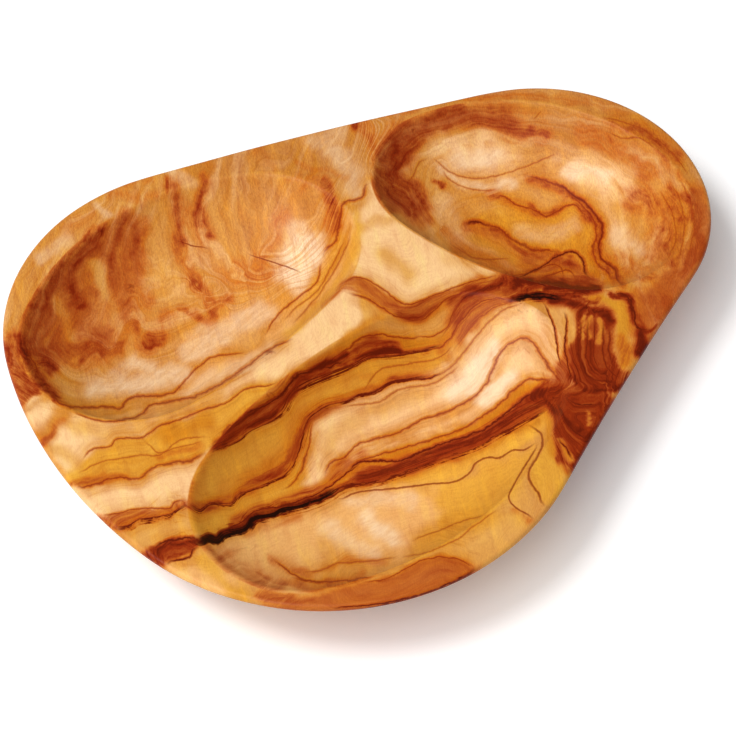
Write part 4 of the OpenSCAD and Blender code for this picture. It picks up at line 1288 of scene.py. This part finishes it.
class Nodes:
    """Short calls that add shader nodes to one material."""

    def __init__(self, material):
        material.use_nodes = True
        self.tree = material.node_tree

    def add(self, kind, **settings):
        made = self.tree.nodes.new(kind)
        for name, value in settings.items():
            setattr(made, name, value)
        return made

    def put(self, socket, value):
        if isinstance(value, bpy.types.NodeSocket):
            self.tree.links.new(value, socket)
        else:
            socket.default_value = value

    def fill(self, made, *values):
        """Puts values in a node's inputs, in their order, and returns its first output."""
        for socket, value in zip(made.inputs, values):
            self.put(socket, value)
        return made.outputs[0]

    def put_named(self, made, values):
        for name, value in values.items():
            self.put(made.inputs[name], value)

    def surface(self, values):
        self.put_named(self.tree.nodes["Principled BSDF"], values)

    def attribute(self, name, output="Vector"):
        return self.add("ShaderNodeAttribute", attribute_name=name).outputs[output]

    def split(self, vector):
        made = self.add("ShaderNodeSeparateXYZ")
        self.put(made.inputs[0], vector)
        return made.outputs

    def combine(self, x, y, z=0.0):
        return self.fill(self.add("ShaderNodeCombineXYZ"), x, y, z)

    def math(self, operation, *values):
        return self.fill(self.add("ShaderNodeMath", operation=operation), *values)

    def product(self, first, second):
        return self.math("MULTIPLY", first, second)

    def scaled(self, value, by, plus=0.0):
        return self.math("MULTIPLY_ADD", value, by, plus)

    def rest(self, share):
        return self.math("SUBTRACT", 1.0, share)

    def centred(self, value):
        """Noise moved to lie on both sides of zero."""
        return self.math("SUBTRACT", value, NOISE_MIDDLE)

    def levels(self, value, low, high, to_low=0.0, to_high=1.0):
        made = self.add("ShaderNodeMapRange", interpolation_type="SMOOTHSTEP")
        return self.fill(made, value, low, high, to_low, to_high)

    def noise(self, vector, scale=1.0, detail=3, roughness=0.6, distortion=0.0):
        made = self.add("ShaderNodeTexNoise")
        self.put_named(made, {
            "Vector": vector, "Scale": scale, "Detail": detail, "Roughness": roughness,
            "Distortion": distortion})
        return made.outputs["Fac"]

    def stretched(self, across, along, steps, **settings):
        """Noise with one number of steps across the figure and another along it."""
        placed = self.combine(self.product(across, steps[0]), self.product(along, steps[1]))
        return self.noise(placed, **settings)

    def turned(self, vector, degrees, sizes, **settings):
        """Noise with one size along a direction and another across it."""
        made = self.add("ShaderNodeMapping", vector_type="TEXTURE")
        turn = (0, 0, math.radians(degrees))
        self.put_named(made, {"Vector": vector, "Rotation": turn, "Scale": (*sizes, 1)})
        return self.noise(made.outputs[0], **settings)

    def mix(self, factor, first, second, blend="MIX"):
        made = self.add("ShaderNodeMix", data_type="RGBA", blend_type=blend)
        self.put_named(made, {"Factor": factor, "A": first, "B": second})
        return made.outputs["Result"]

    def layer(self, tone, name, blend, value, low, high, cover=1.0, mask=None):
        """A palette colour laid over a tone as a value goes from low to high."""
        shown = self.levels(value, low, high, to_high=cover)
        if mask is not None:
            shown = self.product(shown, mask)
        return self.mix(shown, tone, rgba(name), blend)

    def ramp(self, factor, stops):
        """stops are (place from 0 to 1, palette name, cover)."""
        made = self.add("ShaderNodeValToRGB")
        elements = made.color_ramp.elements
        while len(elements) < len(stops):
            elements.new(0.5)
        for element, (place, name, cover) in zip(elements, stops):
            element.position = place
            element.color = (*linear(name), cover)
        self.put(made.inputs[0], factor)
        return made.outputs


def olive_wood(vein_styles):
    material = bpy.data.materials.new("olive_wood")
    n = Nodes(material)
    x, y, growth = n.split(n.attribute("figure"))
    burl, halo, curled = n.split(n.attribute("areas"))
    striped = n.rest(burl)
    flat = n.combine(x, y)

    # Growth rings, which follow the veins in the striped wood and the curl in the burl
    warp = n.noise(flat, scale=2.2, roughness=0.5)
    curled = n.scaled(warp, by=0.35, plus=curled)
    growth = n.scaled(warp, by=0.22, plus=growth)
    rings = n.math("ADD", n.product(growth, striped), n.product(curled, burl))
    along = n.math("ADD", n.product(x, striped), n.product(y, burl))

    # Clouds through the block, then bands and upright flames in the burl
    tone = n.attribute("tone", "Color")
    place = n.add("ShaderNodeTexCoord").outputs["Object"]
    cloud = n.noise(place, scale=38, roughness=0.55)
    tone = n.layer(tone, "amber", "MULTIPLY", cloud, low=0.35, high=0.75, cover=0.14)
    band = n.stretched(rings, along, steps=(6.0, 1.0), roughness=0.55)
    tone = n.layer(tone, "amber", "DARKEN", band, low=0.48, high=0.72, cover=0.55, mask=burl)
    tone = n.layer(tone, "cream", "LIGHTEN", band, low=0.52, high=0.30, cover=0.45, mask=burl)
    upright = n.turned(flat, degrees=80, sizes=(0.4, 0.055), distortion=0.3)
    left_burl = n.product(n.levels(x, low=3.9, high=3.3), burl)
    tone = n.layer(tone, "rust", "MULTIPLY", upright, low=0.45, high=0.75, cover=0.3, mask=left_burl)

    # Fine lines and streaks along the rings, strongest beside the veins and in the burl
    tone = n.mix(n.scaled(halo, by=0.5), tone, rgba("amber"), "DARKEN")
    lines = n.stretched(rings, x, steps=(8.0, 0.6), detail=4)
    lined = n.product(n.scaled(halo, by=0.6, plus=0.06), striped)
    lined = n.scaled(burl, by=0.5, plus=lined)
    tone = n.layer(tone, "amber", "DARKEN", lines, low=0.46, high=0.66, mask=lined)
    streaks = n.stretched(rings, x, steps=(34.0, 1.4))
    streaked = n.scaled(burl, by=0.7, plus=n.product(halo, striped))
    tone = n.layer(tone, "redbrown", "MULTIPLY", streaks, low=0.50, high=0.70, cover=0.2, mask=streaked)

    # Soft curl across the grain: partly curl figure and partly painted sheen, as pale bands with faint
    # orange between
    curl = n.turned(flat, degrees=74, sizes=(0.5, 0.12), roughness=0.55, distortion=0.4)
    tone = n.layer(tone, "pale", "SOFT_LIGHT", curl, low=0.46, high=0.74, cover=0.5)
    tone = n.layer(tone, "orange", "MULTIPLY", curl, low=0.46, high=0.30, cover=0.15)

    # Pale areas with feathered edges: pale wood, and painted highlights in the wells
    depth, light, calm = n.split(n.attribute("masks"))
    feather = n.turned(flat, degrees=-40, sizes=(0.22, 0.05), detail=4, roughness=0.65, distortion=0.4)
    light = n.scaled(n.product(n.centred(feather), light), by=1.1, plus=light)
    tone = n.layer(tone, "pale", "MIX", light, low=0.0, high=1.0, cover=0.95)

    # Red and dark areas, fibrous everywhere and mottled in the burl; some of them are painted shade on
    # the wells' walls
    fibrous = n.stretched(rings, along, steps=(13.0, 1.6), detail=5, roughness=0.7)
    uneven = n.product(n.centred(fibrous), n.levels(depth, low=0.0, high=0.5, to_high=1.3))
    mottle = n.noise(flat, scale=9, detail=4)
    mottle = n.scaled(n.centred(mottle), by=0.8, plus=n.centred(band))
    mottle = n.product(mottle, n.levels(depth, low=0.0, high=0.5, to_high=1.2))
    uneven = n.scaled(mottle, by=burl, plus=uneven)
    uneven = n.product(uneven, n.rest(calm))
    shade, cover = n.ramp(n.math("ADD", depth, uneven), DEPTH_RAMP)
    tone = n.mix(cover, tone, shade)

    # Veins with wobbling, streaked edges
    wobble = n.product(n.centred(n.noise(flat, scale=9)), VEIN_WOBBLE)
    for i, style in enumerate(vein_styles):
        across, per_pixel, strength = n.split(n.attribute(f"veins_{i}"))
        gap = n.math("DIVIDE", n.centred(across), per_pixel)
        streak = n.noise(n.combine(n.scaled(gap, by=0.45), x, y), roughness=0.65)
        across = n.scaled(wobble, by=per_pixel, plus=across)
        across = n.scaled(n.centred(streak), by=STREAKED[style], plus=across)
        stops = [(0.5 + 0.5 * at, name, share) for at, name, share in STYLES[style]]
        shade, cover = n.ramp(across, stops)
        tone = n.mix(n.product(cover, strength), tone, shade, "DARKEN")

    # Pores, fibre and grain over all of it
    pores = n.stretched(x, y, steps=(30.0, 3.5))
    porous = n.scaled(striped, by=0.7, plus=0.3)
    tone = n.layer(tone, "orange", "MULTIPLY", pores, low=0.55, high=0.75, cover=0.12, mask=porous)
    fibre = n.stretched(rings, x, steps=(70.0, 6.0))
    tone = n.layer(tone, "rust", "MULTIPLY", fibre, low=0.35, high=0.75, cover=0.16)
    grain = n.turned(flat, degrees=80, sizes=(1.6, 0.6), scale=48, detail=2, roughness=0.7)
    grainy = n.levels(light, low=0.1, high=0.8, to_low=1.0, to_high=0.45)
    grainy = n.product(n.scaled(burl, by=0.5, plus=0.5), grainy)
    tone = n.layer(tone, "rust", "MULTIPLY", grain, low=0.40, high=0.70, cover=0.24, mask=grainy)
    tone = n.layer(tone, "pale", "SOFT_LIGHT", grain, low=0.60, high=0.30, cover=0.22, mask=grainy)

    # Oiled satin surface
    bump = n.add("ShaderNodeBump")
    n.put_named(bump, {"Strength": 0.05, "Distance": 0.3 * MM, "Height": fibre})
    n.surface({
        "Base Color": tone,
        "Specular IOR Level": 0.1,
        "Roughness": n.levels(fibre, low=0.2, high=0.8, to_low=0.36, to_high=0.48),
        "Normal": bump.outputs[0],
    })
    return material


# The stage

def place_object(name, data):
    made = bpy.data.objects.new(name, data)
    bpy.context.collection.objects.link(made)
    return made


def add_camera():
    data = bpy.data.cameras.new("camera")
    data.lens = LENS
    data.sensor_width = SENSOR_WIDTH
    camera = place_object("camera", data)
    back = Vector((0, -math.cos(CAMERA_ELEVATION), math.sin(CAMERA_ELEVATION)))
    camera.location = CAMERA_TARGET + CAMERA_DISTANCE * back
    camera.rotation_euler = (math.pi / 2 - CAMERA_ELEVATION, 0, 0)
    bpy.context.scene.camera = camera


def add_lamp(name, place, size, power):
    """A round lamp that shines at the origin."""
    data = bpy.data.lights.new(name, "AREA")
    data.shape = "DISK"
    data.size = size
    data.energy = power
    lamp = place_object(name, data)
    lamp.location = place
    lamp.rotation_euler = (-Vector(place)).to_track_quat("-Z", "Y").to_euler()


def add_floor():
    half = FLOOR_HALF
    corners = [(-half, -half, 0), (half, -half, 0), (half, half, 0), (-half, half, 0)]
    data = bpy.data.meshes.new("floor")
    data.from_pydata(corners, [], [(0, 1, 2, 3)])
    floor = place_object("floor", data)
    floor.location.z = -FLOOR_DROP
    material = bpy.data.materials.new("floor_white")
    n = Nodes(material)
    path = n.add("ShaderNodeLightPath")
    seen = n.math("MAXIMUM", path.outputs["Is Camera Ray"], path.outputs["Is Glossy Ray"])
    n.surface({
        "Base Color": FLOOR_COLOUR,
        "Roughness": 0.9,
        "Specular IOR Level": 0.0,
        "Emission Color": WHITE,
        "Emission Strength": n.product(seen, FLOOR_LIFT),
    })
    data.materials.append(material)


def add_world():
    world = bpy.data.worlds.new("studio")
    world.use_nodes = True
    background = world.node_tree.nodes["Background"]
    background.inputs["Color"].default_value = WHITE
    background.inputs["Strength"].default_value = WORLD_STRENGTH
    bpy.context.scene.world = world


noise.seed_set(NOISE_SEED)
wood, carved = dish_mesh(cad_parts["dish"])
dish = place_object("olive_dish", wood)
vein_styles = paint_figure(wood, carved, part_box("dish")[1][2])
wood.materials.append(olive_wood(vein_styles))
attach(dish, "root")
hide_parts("dish")

add_camera()
add_floor()
add_world()
for name, lamp in LAMPS.items():
    add_lamp(name, **lamp)

bpy.context.scene.view_settings.view_transform = "Standard"
